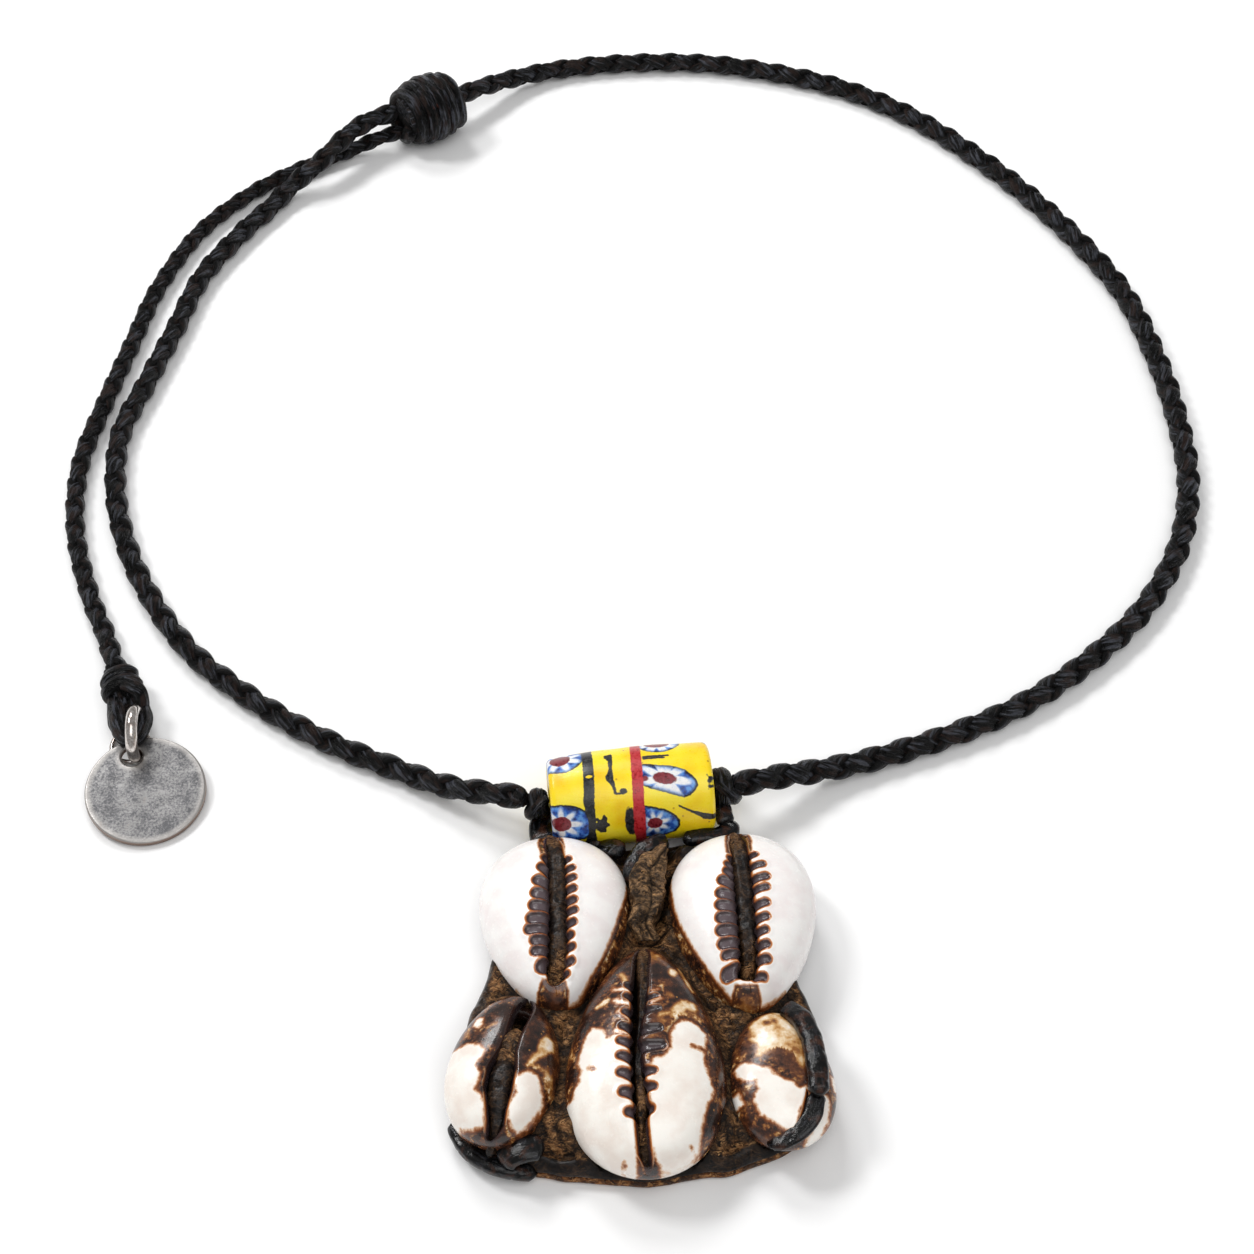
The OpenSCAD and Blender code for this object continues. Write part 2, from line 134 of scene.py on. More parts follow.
# Points of each cord's middle line in mm, the same as in the solid model
right_route = [
    [12.1, 24.2, 6.2], [15.5, 25.3, 5.7], [19, 26.8, 4.6], [24, 28.9, 2.8], [31, 31.4, 1.7],
    [42, 35.5, lie], [52, 40.5, lie], [62, 48, lie], [71, 57.5, lie], [77.5, 69, lie], [80.5, 81.5, lie],
    [80.5, 94.5, lie], [79, 107, lie], [76, 120, lie], [70.5, 131.5, lie], [63.5, 142.5, lie],
    [55.5, 152.5, lie], [46, 162, lie], [35.5, 169, lie], [23.5, 173.5, lie], [11, 176, lie],
    [-2, 176, lie], [-13, 174.3, 1.65], [-19.7, 171.3, 2.4], [-23.4, 168.6, 3.4], [-27, 165.6, 4.4],
    [-30.4, 162.8, 4.9]]
left_route = [
    [-14.7, 22.2, 6.2], [-18.7, 23.6, 5.2], [-22.3, 24.9, 4], [-26.5, 26.9, 2.6], [-31.5, 29.6, 1.65],
    [-39.5, 33.3, lie], [-47, 37.6, lie], [-54.6, 43.1, lie], [-61.7, 49.5, lie], [-67.7, 57.8, lie],
    [-72.7, 67.6, lie], [-76, 78.6, lie], [-76.8, 90.2, lie], [-74.1, 101.3, lie], [-71.2, 112.4, lie],
    [-68.3, 124, lie], [-62.8, 134.4, lie], [-59.4, 139.3, lie], [-57.2, 142.7, 1.8], [-54.9, 145.1, 2.7],
    [-52.3, 146.8, 4], [-50.3, 148.6, 4.9], [-48.2, 151.5, 5.4], [-45.9, 154.4, 5.6], [-43.3, 156.4, 5.8],
    [-39.6, 158.1, 6]]
tail_route = [
    [-38.6, 156.6, 3.2], [-42.5, 155.5, 2.6], [-46, 154.3, 1.7], [-49.3, 152.7, tail_lie],
    [-56, 148.7, tail_lie], [-63, 143, tail_lie], [-70, 134, tail_lie], [-75, 121.5, tail_lie],
    [-77.5, 109.5, tail_lie], [-80, 97, tail_lie], [-82, 84.5, tail_lie], [-81, 72, tail_lie],
    [-77.5, 60.5, tail_lie], [-74.2, 53, 1.6], [-72.4, 48.3, 2.3], [-71.1, 45.2, 2.9]]


def line_through(points, step):
    """A smooth line through points, as even steps of about that length. Each stretch is the cubic
    that leaves its two points in the direction from the point before to the point after."""
    p = np.asarray(points, float)
    p = np.vstack([p[:1], p, p[-1:]])
    t = (np.arange(24) / 24)[None, :, None]
    a, b, c, d = (p[i:len(p) - 3 + i, None] for i in range(4))
    q = 0.5 * (2 * b + (c - a) * t + (2 * a - 5 * b + 4 * c - d) * t ** 2
               + (3 * b - a - 3 * c + d) * t ** 3)
    q = np.vstack([q.reshape(-1, p.shape[1]), p[-1:]])
    run = np.r_[0, np.cumsum(np.linalg.norm(np.diff(q, axis=0), axis=1))]
    along = np.linspace(0, run[-1], max(int(round(run[-1] / step)), 3) + 1)
    return np.stack([np.interp(along, run, column) for column in q.T], 1), along


def unit(v):
    """Vectors of length one."""
    return v / np.maximum(np.linalg.norm(v, axis=-1, keepdims=True), 1e-9)


def heading(degrees):
    """A level direction, turned from +X."""
    return np.cos(np.radians(degrees)), np.sin(np.radians(degrees)), 0


def turned(x, y, degrees):
    """A place turned round the origin."""
    t = np.radians(degrees)
    return x * np.cos(t) - y * np.sin(t), x * np.sin(t) + y * np.cos(t)


to_camera = (0, -0.616, 0.788)


def frame_along(line, up=to_camera):
    """Direction, side and up vector at each point of a line, kept square to each other."""
    ahead = unit(np.gradient(line, axis=0))
    side = unit(np.cross(ahead, np.asarray(up, float)))
    return ahead, side, np.cross(side, ahead)


def strand(line, wide, thick, sides, out=None, square=1.0):
    """A strand's surface: at each point of its line an oval, wide across and thick towards `out`.
    Returns the grid and, for each point, how far it is along and its place across, in mm."""
    ahead = unit(np.gradient(line, axis=0))
    out = np.broadcast_to((0, 0, 1.0), line.shape) if out is None else out
    across = unit(np.cross(ahead, out))
    out = np.cross(across, ahead)
    turn = np.linspace(0, 2 * np.pi, sides, endpoint=False)
    c = (np.sign(np.cos(turn)) * np.abs(np.cos(turn)) ** square)[None, :, None]
    d = (np.sign(np.sin(turn)) * np.abs(np.sin(turn)) ** square)[None, :, None]
    wide = np.broadcast_to(wide, len(line))[:, None, None]
    thick = np.broadcast_to(thick, len(line))[:, None, None]
    grid = line[:, None] + across[:, None] * c * wide + out[:, None] * d * thick
    run = np.r_[0, np.cumsum(np.linalg.norm(np.diff(line, axis=0), axis=1))]
    lay = np.stack(np.broadcast_arrays(run[:, None], c[..., 0] * wide[..., 0], d[..., 0] * thick[..., 0]),
                   -1)
    return grid, lay


def braid(line, along, d, lay_length):
    """Four strands braided round: two wind one way and two the other, half a turn apart. A strand's
    distance from the middle swings as the cosine of two turns, so that each one passes over one
    strand and under the next. It winds slower and lies fuller where it is on top."""
    ahead, side, up = frame_along(line)
    k, turns = d / 3.0, 2 * np.pi * along / lay_length
    strands, lays = [], []
    for number, (way, start) in enumerate(((1, 0), (1, np.pi), (-1, 0), (-1, np.pi))):
        turn = way * turns + start - 0.3 * np.sin(2 * turns)
        wave = np.cos(2 * turns)
        swing = way * np.sign(wave) * np.abs(wave) ** 0.8
        radius = k * (0.68 + 0.25 * swing)
        out = np.cos(turn)[:, None] * up + np.sin(turn)[:, None] * side
        ease = np.clip(np.minimum(along, along[-1] - along) / 0.8, 0.25, 1) ** 0.5
        grid, lay = strand(line + out * radius[:, None], k * ease * (0.96 + 0.2 * swing),
                           k * ease * (0.62 + 0.03 * swing), 12, out, 0.78)
        strands.append(grid)
        lays.append(lay + [37.0 * number, 0, 0])
    return strands, lays


def skin(name, surfaces, material, slot, stands_for=(), loop=False, **marks):
    """A closed piece from grids of points in mm (rows, points round a row, 3). Neighbours make
    quads, round each row; the first and last rows are joined (loop) or each closed by a fan round
    its middle. Faces point outwards, where the enclosed volume counts as positive. Each mark is a
    number or a vector for every point, kept on the mesh under its name."""
    points, faces, kept, start = [], [], {key: [] for key in marks}, 0
    for number, grid in enumerate(surfaces):
        rows, round_ = grid.shape[:2]
        at = np.arange(rows * round_).reshape(rows, round_)
        near, far = (at, np.roll(at, -1, 0)) if loop else (at[:-1], at[1:])
        quads = np.stack([near, np.roll(near, -1, 1), np.roll(far, -1, 1), far], -1).reshape(-1, 4)
        flat = grid.reshape(-1, 3)
        tris = np.zeros((0, 3), int)
        if not loop:
            flat = np.vstack([flat, grid[0].mean(0), grid[-1].mean(0)])
            first, last = np.full(round_, at.size), np.full(round_, at.size + 1)
            tris = np.vstack([np.stack([first, np.roll(at[0], -1), at[0]], -1),
                              np.stack([last, at[-1], np.roll(at[-1], -1)], -1)])
        corner = flat[np.vstack([quads[:, :3], quads[:, [0, 2, 3]], tris])]
        if np.einsum("ij,ij->", corner[:, 0], np.cross(corner[:, 1], corner[:, 2])) < 0:
            quads, tris = quads[:, ::-1], tris[:, ::-1]
        points.append(flat)
        faces += (quads + start).tolist() + (tris + start).tolist()
        start += len(flat)
        for key, values in marks.items():
            value = np.asarray(values[number], float)
            value = value.reshape(rows, round_, -1)
            ends = [] if loop else [value[0].mean(0)[None], value[-1].mean(0)[None]]
            kept[key].append(np.vstack([value.reshape(rows * round_, -1)] + ends))
    mesh = bpy.data.meshes.new(name)
    mesh.from_pydata((np.vstack(points) * 0.001).tolist(), [], faces)
    mesh.polygons.foreach_set("use_smooth", np.ones(len(mesh.polygons), bool))
    for key, values in kept.items():
        values = np.vstack(values).astype(np.float32)
        vector = values.shape[1] == 3
        layer = mesh.attributes.new(key, "FLOAT_VECTOR" if vector else "FLOAT", "POINT")
        layer.data.foreach_set("vector" if vector else "value", values.ravel())
    mesh.materials.append(material)
    mesh.update()
    piece = bpy.data.objects.new(name, mesh)
    bpy.context.scene.collection.objects.link(piece)
    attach(piece, "root")
    if stands_for:
        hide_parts(*stands_for)
    return piece


def cotton(name, dye, worn, frayed=None):
    """Waxed cotton yarn: black dye under wax. Threads of 0.3 mm lie along each strand, drawn a little
    coarser than real so that they show; the raised threads are coloured grey, partly as worn fibres
    and partly as a painted sheen. The wax is rubbed off where a strand lies on top (`lay`, third
    number), so it is less dull there; towards a strand's sides and between strands it is duller, and
    the colour is painted darker, nearly black, as shade."""
    m = finish_named(name)
    lay = add(m, "Attribute", attribute_name="lay", out="Vector")
    threads = drawn_out(m, lay, (0.4, 2.3, 2.3), roughness=0.55)
    hairs = drawn_out(m, lay, (1.1, 8.0, 8.0))
    wax = drawn_out(m, lay, (0.5, 0.9, 0.9))
    # Grey on the raised threads: partly worn fibres, partly a painted sheen
    colour = add(m, "ValToRGB", {0: threads}, [
        (0.42, paint("#010101")), (0.51, paint(dye)), (0.62, paint(worn))])
    # Painted shade: nearly black towards a strand's sides and between strands, by how high it lies (`lay`,
    # third number)
    over = add(m, "MapRange", {0: add(m, "SeparateXYZ", {0: lay}, out=2), 1: 0.1, 2: 0.55})
    colour = add(m, "Mix", {0: over, 6: paint("#020202"), 7: colour}, data_type="RGBA", out=2)
    brown = add(m, "ValToRGB", {0: wax}, [(0.52, (0, 0, 0, 1)), (0.66, (0.8, 0.8, 0.8, 1))])
    colour = add(m, "Mix", {0: brown, 6: colour, 7: paint("#2c1e19")}, data_type="RGBA", out=2)
    if frayed:
        near = add(m, "Attribute", attribute_name="fray", out="Fac")
        bits = add(m, "Math", {0: hairs, 1: wax}, operation="MULTIPLY")
        flecks = add(m, "Math", {0: bits, 1: near}, operation="MULTIPLY")
        shown = add(m, "ValToRGB", {0: flecks}, [(0.29, (0, 0, 0, 1)), (0.33, (0.8, 0.8, 0.8, 1))])
        colour = add(m, "Mix", {0: shown, 6: colour, 7: paint(frayed)}, data_type="RGBA", out=2)
    both = add(m, "Math", {0: threads, 1: 0.35, 2: hairs}, operation="MULTIPLY_ADD")
    both = add(m, "Math", {0: threads, 1: both})
    bump = add(m, "Bump", {"Height": both, "Distance": 0.0006})
    rough = add(m, "MapRange", {0: wax, 1: 0.35, 2: 0.65, 3: 0.24, 4: 0.4})
    rough = add(m, "Mix", {0: over, 2: 0.75, 3: rough})
    yarn = add(m, "BsdfPrincipled", {
        "Base Color": colour, "Roughness": rough, "Specular IOR Level": 0.2, "Normal": bump})
    add(m, "OutputMaterial", {"Surface": yarn})
    return m


waxed_cotton = cotton("waxed_cotton", "#0d0d0e", "#46484f")


def braided_cord(name, route, d, lay_length, pulled):
    """The braided piece of one cord, with its middle line in metres and its length. It is thinner
    where it was pulled tight: places along it and its share of the full width there."""
    line, along = line_through(route, 0.42)
    full = np.interp(along, *zip(*pulled))
    strands, lays = braid(line + [0, 0, 0.08], along, d * braid_over * full, lay_length)
    piece = skin(name, strands, waxed_cotton, "waxed_cord", (name.replace("braid", "cord"),), lay=lays)
    return piece, (line[::6] * 0.001).tolist() + [(line[-1] * 0.001).tolist()], along[-1] * 0.001


braid_right, right_path, right_long = braided_cord("braid_right", right_route, cord_d, 9.3,
                                                   [(0, 1.0), (160, 1.0), (225, 0.91), (270, 0.9)])
braid_left, left_path, left_long = braided_cord("braid_left", left_route, cord_d, 9.3,
                                                [(0, 0.98), (80, 0.95), (120, 0.91), (180, 0.92)])
braid_tail, tail_path, tail_long = braided_cord("braid_tail", tail_route, tail_d, 8.1,
                                                [(0, 0.86), (30, 0.84), (60, 0.92), (132, 0.98)])

# The knots: the same cord wound and pulled tight. Five turns close the loop and slide on both
# cords, one turn stops the bead at each end, and two turns hold the eye that carries the tag.


def wound(middle, axis, up, radii, long, wide, thick, lean=0.0, tuck=0.8, sides=14):
    """Turns of cord wound round an axis: the angle grows evenly, the place along the axis grows by
    one pitch a turn, and the radius follows the given ones. Both ends dive towards the axis.
    `lean` slides the upper side of each turn along the axis."""
    axis, up = unit(np.asarray(axis, float)), np.asarray(up, float)
    up = unit(up - axis * (up @ axis))
    side = np.cross(axis, up)
    turns = len(radii)
    share = np.linspace(0, 1, int(turns * 44))
    angle = 2 * np.pi * (turns + 0.35) * share + 1.2
    radius = np.interp(share * turns, np.arange(turns) + 0.5, radii)
    dive = np.clip(np.minimum(share, 1 - share) * turns / 0.25, 0, 1)
    radius = (radius - thick) * (tuck + (1 - tuck) * dive * dive * (3 - 2 * dive))
    place = (share - 0.5) * (long - 2 * wide * 0.92)
    height = np.cos(angle) * radius
    out = np.cos(angle)[:, None] * up + np.sin(angle)[:, None] * side
    line = np.asarray(middle, float) + out * radius[:, None] + axis * (place + lean * height)[:, None]
    return strand(line, wide, thick, sides, out), height


def lumps(x, y, size, seed):
    """Smooth lumps from -1 to 1, about `size` mm apart: random heights on a square net, eased
    between its corners."""
    table = np.random.default_rng(seed).uniform(-1, 1, (97, 97))
    u, v = np.asarray(x) / size + 31.7, np.asarray(y) / size + 57.3
    i, j = np.floor(u).astype(int), np.floor(v).astype(int)
    s, t = u - i, v - j
    s, t = s * s * (3 - 2 * s), t * t * (3 - 2 * t)
    low = table[i % 97, j % 97] * (1 - s) + table[(i + 1) % 97, j % 97] * s
    high = table[i % 97, (j + 1) % 97] * (1 - s) + table[(i + 1) % 97, (j + 1) % 97] * s
    return low * (1 - t) + high * t


def ridged(grid, lay, depth, pitch):
    """Pushes a strand's surface in and out by fine ridges that run along it: each follows a place
    across the strand and wanders slowly."""
    middle = grid.mean(1, keepdims=True)
    angle = np.arctan2(lay[..., 2], lay[..., 1])
    push = lumps(angle * 1.9 + 0.15 * lay[..., 0], lay[..., 0] * 0.22, pitch, 5)
    return grid + unit(grid - middle) * (depth * push)[..., None]


frayed_cotton = cotton("frayed_cotton", "#0d0d0e", "#4c4e56", "#6b3626")

(turns_grid, turns_lay), high = wound([-34.6, 159.6, 5.4], heading(31), to_camera,
                                      [4.6, 5.4, 5.6, 5.5, 4.8], 11.4, 1.06, 1.2, 0.14, sides=22)
turns_grid = ridged(turns_grid, turns_lay, 0.16, 0.35)
core_line, _ = line_through([[-38.4, 157.3, 5.3], [-34.6, 159.6, 5.4], [-30.8, 161.9, 5.3]], 0.4)
core_grid, core_lay = strand(core_line, 3.6, 3.6, 24)
near_middle = np.exp(-(np.linalg.norm(turns_grid - [-33.0, 155.9, 9.0], axis=2) / 2.2) ** 2)
skin("sliding_turns", [turns_grid, core_grid], frayed_cotton, "waxed_cord", ("sliding_knot",),
     lay=[turns_lay, core_lay], fray=[near_middle, np.zeros(core_grid.shape[:2])])

bead_axis = heading(6.3)


def stopper(name, node, way, size=1.0):
    """An overhand knot at the bead's end: one full turn over the cord, and a second lobe that
    crosses it outwards and down."""
    bead_end = np.array([-1.2, 22.7, 6.2]) + np.array(bead_axis) * way * (21 / 2 + 0.15)
    axis = np.array(bead_axis) * way
    (first, lay_1), _ = wound(bead_end + axis * 1.2, axis, (0, -0.4, 0.9), [2.55 * size, 2.65 * size],
                              3.0 * size, 0.95 * size, 0.85 * size, 0.12)
    lobe, _ = line_through(bead_end + size * np.outer([0.6, 1.5, 2.6, 3.1, 2.6, 1.6], axis)
                           + size * np.array([[0, 0, 1.1], [0, -1.2, 1.5], [0, -1.7, 0.1], [0, -1.0, -1.3],
                                              [0, 0.4, -1.5], [0, 1.2, -0.4]]), 0.25)
    second, lay_2 = strand(lobe, 1.0 * size, 0.85 * size, 14, unit(lobe - bead_end - axis * 1.4))
    grids = [ridged(first, lay_1, 0.1, 0.4), ridged(second, lay_2, 0.1, 0.4)]
    return skin(name, grids, waxed_cotton, "waxed_cord", (node,), lay=[lay_1, lay_2 + [50.0, 0, 0]])


stop_right = stopper("stop_right", "knot_right", 1)
stop_left = stopper("stop_left", "knot_left", -1, 0.8)

(wrap_grid, wrap_lay), _ = wound([-70.4, 43.1, 3.2], heading(-74), to_camera, [2.6, 2.95], 6.0, 1.0, 1.05,
                                 0.1, tuck=0.6, sides=18)
crossing, _ = line_through([[-69.4, 41.6, 5.2], [-68.3, 41.0, 5.3], [-67.2, 40.2, 4.9], [-66.9, 38.9, 4.0],
                            [-67.6, 38.0, 2.8]], 0.25)
cross_grid, cross_lay = strand(crossing, 1.1, 0.85, 16, unit(crossing - [-70.3, 42.9, 3.25]))
plug_line, run = line_through([[-70.9, 44.6, 3.2], [-70.3, 42.9, 3.25], [-69.7, 40.8, 3.2],
                               [-68.9, 38.6, 2.9]], 0.3)
plug, plug_lay = strand(plug_line, np.interp(run, [0, 3.5, 6], [1.9, 1.9, 1.1]),
                        np.interp(run, [0, 3.5, 6], [1.9, 1.7, 0.9]), 20)
end_wraps = skin("end_wraps", [ridged(wrap_grid, wrap_lay, 0.11, 0.4),
                               ridged(cross_grid, cross_lay, 0.1, 0.4), plug], waxed_cotton, "waxed_cord",
                 ("end_knot",), lay=[wrap_lay, cross_lay, plug_lay])

# The eye under the wrapped knot: one fat soft strand that goes through the jump ring and back
eye_route = [
    [-70.8, 40.2, 3.2], [-70.3, 37.8, 3.5], [-69.6, 35.4, 3.9], [-68.8, 33.7, 4.2], [-67.8, 33, 4.3],
    [-66.8, 33.8, 4.1], [-66.5, 36, 3.7], [-66.9, 38.2, 3.4], [-67.9, 40.6, 3.2]]
eye_line, eye_run = line_through(eye_route, 0.22)
swell = 1.0 + 0.16 * np.sin(np.pi * np.clip(eye_run / eye_run[-1] * 2 % 1, 0, 1))
eye_grid, eye_lay = strand(eye_line, 1.1 * swell, 1.05 * swell, 18,
                           np.broadcast_to((0, -0.3, 0.95), eye_line.shape))
eye = skin("soft_eye", [ridged(eye_grid, eye_lay, 0.12, 0.35)], waxed_cotton, "waxed_cord", ("cord_eye",),
           lay=[eye_lay])

# The stretch of the same braid inside the bead
inner_route = [np.array([-1.2, 22.7, 6.3]) + np.array(bead_axis) * s for s in (-10.4, -5, 0, 5, 10.4)]
inner_line, inner_along = line_through(inner_route, 0.5)
inner, inner_lay = braid(inner_line, inner_along, 2.9, 9.3)
braid_core = skin("braid_core", inner, waxed_cotton, "waxed_cord", ("cord_core",), lay=inner_lay)

# The trade bead: opaque yellow glass, wound on a rod and dressed with slices of millefiori cane,
# a red and a black trailed band. Worn satin, with chips at its rims. It hangs on the cord.
bead_at, bead_long, bead_bore = np.array([-1.2, 22.7, 6.3]), 21.0, 2.1
bead_side = np.array([-bead_axis[1], bead_axis[0], 0])


def bead_surface(columns, round_):
    """The bead as a ring-shaped surface: its outline runs out from the hole, round a rim, along
    the belly, round the other rim and back through the hole, and is turned round the axis."""
    rim = np.linspace(0, np.pi / 2, 8)
    s = np.linspace(0.8, bead_long - 0.8, columns)
    r = np.interp(s, [0.8, 3, 5.2, 8, 11, 14, 16.4, 18.5, 20.2],
                  [5.55, 5.8, 5.98, 6.12, 6.2, 6.19, 6.13, 6.03, 5.93])
    run = np.r_[np.full(5, 0.0), 0.8 - 0.8 * np.cos(rim[1:-1]), s,
                bead_long - 0.8 + 0.8 * np.sin(rim[1:-1]), np.full(5, bead_long),
                np.linspace(bead_long - 0.4, 0.4, 12)]
    out = np.r_[np.linspace(bead_bore, r[0] - 0.8, 5), r[0] - 0.8 + 0.8 * np.sin(rim[1:-1]), r,
                r[-1] - 0.8 + 0.8 * np.cos(rim[1:-1]), np.linspace(r[-1] - 0.8, bead_bore, 5),
                np.full(12, bead_bore)]
    turn = np.linspace(-np.pi, np.pi, round_, endpoint=False)
    s, r, turn = run[:, None], out[:, None], turn[None, :]
    deg = np.degrees(turn)
    uneven = 0.05 * lumps(s + 0 * turn, np.cos(turn) * 6, 4.0, 11)
    uneven = uneven + 0.03 * lumps(s + 0 * turn, np.sin(turn) * 6, 2.1, 12)
    r = r + uneven * np.clip((r - bead_bore) / 3, 0, 1)
    grid = (bead_at + (s - bead_long / 2)[..., None] * np.array(bead_axis)
            + (r * np.cos(turn))[..., None] * np.array([0, 0, 1.0])
            - (r * np.sin(turn))[..., None] * bead_side)
    return grid, s + 0 * deg, deg + 0 * s


def off_line(ax, ay, bx, by, x, y):
    """How far points lie from the stretch between two others."""
    t = ((x - ax) * (bx - ax) + (y - ay) * (by - ay)) / ((bx - ax) ** 2 + (by - ay) ** 2 + 1e-12)
    t = np.clip(t, 0, 1)
    return np.hypot(x - ax - t * (bx - ax), y - ay - t * (by - ay))


def depth_in(corners, x, y):
    """How deep a point lies inside a polygon, in mm: the distance to its nearest edge, and the
    same as a negative number outside."""
    a = np.asarray(corners, float)
    b = np.roll(a, -1, 0)
    near, inside = np.full(np.shape(x), 1e9), np.zeros(np.shape(x), bool)
    for (ax, ay), (bx, by) in zip(a, b):
        near = np.minimum(near, off_line(ax, ay, bx, by, x, y))
        if by != ay:
            inside ^= ((ay > y) != (by > y)) & (x < (bx - ax) * (y - ay) / (by - ay) + ax)
    return np.where(inside, near, -near)


def depth_oval(x, y, cx, cy, rx, ry, tilt=0.0):
    """Nearly the same for an oval of half widths rx and ry, turned by tilt degrees."""
    u, v = turned(x - cx, y - cy, -tilt)
    return (1 - np.hypot(u / rx, v / ry)) * min(rx, ry)


bead_grid, bead_s, bead_deg = bead_surface(170, 300)
arc = np.radians(1) * 6.05                    # mm on the surface for each degree round the bead
x, y = bead_s, bead_deg * arc


def drawn(corners, x=x, y=y):
    """The depth inside a patch whose corners are given as (mm along the bead, degrees round it)."""
    return depth_in([(s, d * arc) for s, d in corners], x, y)


# The eyes: each has an outline, a core, and the number, length and start of its white petals
eyes = [
    (depth_oval(x, y, 1.8, -34 * arc, 3.1, 3.15), (1.7, -33, 1.35, 1.6, 0), 8, 2.35, 0.3),
    (depth_oval(x, y, 14.5, -48 * arc, 2.9, 2.75), (14.4, -49, 1.65, 1.5, 0), 9, 2.3, 0.1),
    (drawn([(11.6, -4), (13, -3), (14.3, 0), (15.6, 2), (16.6, 5), (17.5, 9), (18.3, 16.5), (18.85, 24),
            (18.9, 29), (18.5, 36), (17.8, 41), (17, 43), (16.2, 40.5), (15.1, 36.5), (13.9, 32),
            (12.8, 29), (12, 25.5), (11.6, 22)]), (14.7, 17.5, 1.55, 0.78, 12), 9, 2.4, 0.45),
    (drawn([(11.6, 47), (13.2, 51), (14.4, 54.5), (15.6, 62), (16.3, 72), (16.3, 81), (15.7, 91),
            (14.5, 97), (13, 99), (11.6, 98)]), (13.05, 72.5, 1.0, 0.85, 0), 8, 1.75, 0.2),
    (drawn([(-0.6, 40), (1.2, 38.5), (2.5, 40), (3.4, 43), (4.4, 49.5), (5, 60), (5.2, 72), (5, 84),
            (4, 95), (2, 101), (-0.6, 102)]), (1.15, 66, 1.25, 1.2, 0), 8, 2.3, 0.0)]
eye_in, core_in, star_in = (np.full(x.shape, -5.0) for _ in range(3))
for edge, (cs, cd, rx, ry, tilt), petals, reach, start in eyes:
    core = depth_oval(x, y, cs, cd * arc, rx, ry, tilt)
    around = np.arctan2(y - cd * arc, x - cs)
    far = np.hypot(x - cs, y - cd * arc)
    wave = np.abs(np.cos((around + start) * petals / 2)) ** 1.6
    tip = reach * (0.56 + 0.62 * wave + 0.14 * lumps(around * 2, edge * 0, 1.0, 3))
    tip = tip * np.maximum(rx, 1.2) / 1.35
    eye_in = np.maximum(eye_in, edge)
    core_in = np.maximum(core_in, core)
    star_in = np.maximum(star_in, np.minimum(0.8 * (tip - far), edge - 0.35))
core_in = np.maximum(core_in, depth_oval(x, y, 12.15, 16 * arc, 0.5, 0.35))
notch = np.clip(depth_oval(x, y, 14.85, 17.5 * arc, 0.42, 0.34), 0, 1)
core_in = np.maximum(core_in, -1.0 + 0 * x) - 2 * notch
ink = np.maximum.reduce(
    [drawn([(4.65, -62), (4.6, -40), (4.5, 0), (4.35, 20), (4.15, 40), (4.3, 47), (4.6, 60), (4.6, 80),
            (4.2, 100), (4.2, 140), (5.9, 140), (5.6, 100), (5.4, 80), (5.5, 60), (5.45, 40), (5.65, 20),
            (5.8, 0), (5.85, -40), (5.9, -62)]),
     drawn([(7.35, -25), (8.25, -28), (8.35, -24), (8.3, -11), (8.1, 2), (8.2, 13), (8.35, 27), (8.42, 31),
            (8.2, 31), (8, 22), (7.3, 13), (7.25, 8.5), (7.6, 4), (7.8, -3), (7.8, -14), (7.4, -21)]),
     depth_oval(x, y, 9.3, 29 * arc, 0.42, 0.33), depth_oval(x, y, 8.75, 31 * arc, 0.3, 0.1),
     drawn([(12.3, -16.4), (15.6, -15.8), (15.6, -13.8), (14, -13.4), (12.3, -14.2)]),
     drawn([(12.3, -13), (15, -12.6), (15, -11.2), (12.3, -11)]) + 0.02,
     depth_oval(x, y, 10.0, 69 * arc, 0.68, 2.0, -3),
     drawn([(16.2, 51.5), (17.9, 60.3), (19, 64.3), (20.9, 70.5), (20.9, 78), (19.4, 74), (18.6, 67.2),
            (17.8, 62.4), (16.2, 52.4)]),
     depth_oval(x, y, 6.3, 69 * arc, 0.95, 1.3) - 0.15 + 0.3 * lumps(x, y, 0.5, 21),
     depth_oval(x, y, 20.45, 25 * arc, 0.4, 1.0) - 0.1 + 0.3 * lumps(x, y, 0.4, 22),
     depth_oval(x, y, 20.8, -48 * arc, 0.4, 0.5)])
ink = np.minimum(ink, 0.12 - 0.7 * np.clip(depth_oval(x, y, 5.15, 6.5 * arc, 0.6, 0.26), 0, 1) * 4)
band = drawn([(10.95, -62), (10.85, -40), (10.6, 0), (10.4, 40), (10.37, 80), (10.6, 100), (10.7, 140),
              (12, 140), (11.9, 100), (11.9, 80), (11.85, 40), (12.05, 0), (12.2, -40), (12.3, -62)])
# On its far half the bead has five plainer eyes: mm along it, degrees round it, and their reach
back = np.abs(bead_deg) > 118
for first, second, reach in ((3.0, 165, 2.6), (15.5, 150, 2.7), (8.2, 178, 2.1), (14.8, -130, 2.5),
                             (18, -165, 2.0)):
    gap = (bead_deg - second + 180) % 360 - 180
    edge = depth_oval(x, gap * arc, first, 0, reach, reach * 0.9)
    around, far = np.arctan2(gap * arc, x - first), np.hypot(x - first, gap * arc)
    eye_in = np.where(back, np.maximum(eye_in, edge), eye_in)
    core_in = np.where(back, np.maximum(core_in, depth_oval(x, gap * arc, first, 0, 1.05, 0.95)), core_in)
    tip = reach * (0.45 + 0.35 * np.abs(np.cos(around * 4)) ** 0.8)
    star_in = np.where(back, np.maximum(star_in, np.minimum(tip - far, edge - 0.3)), star_in)

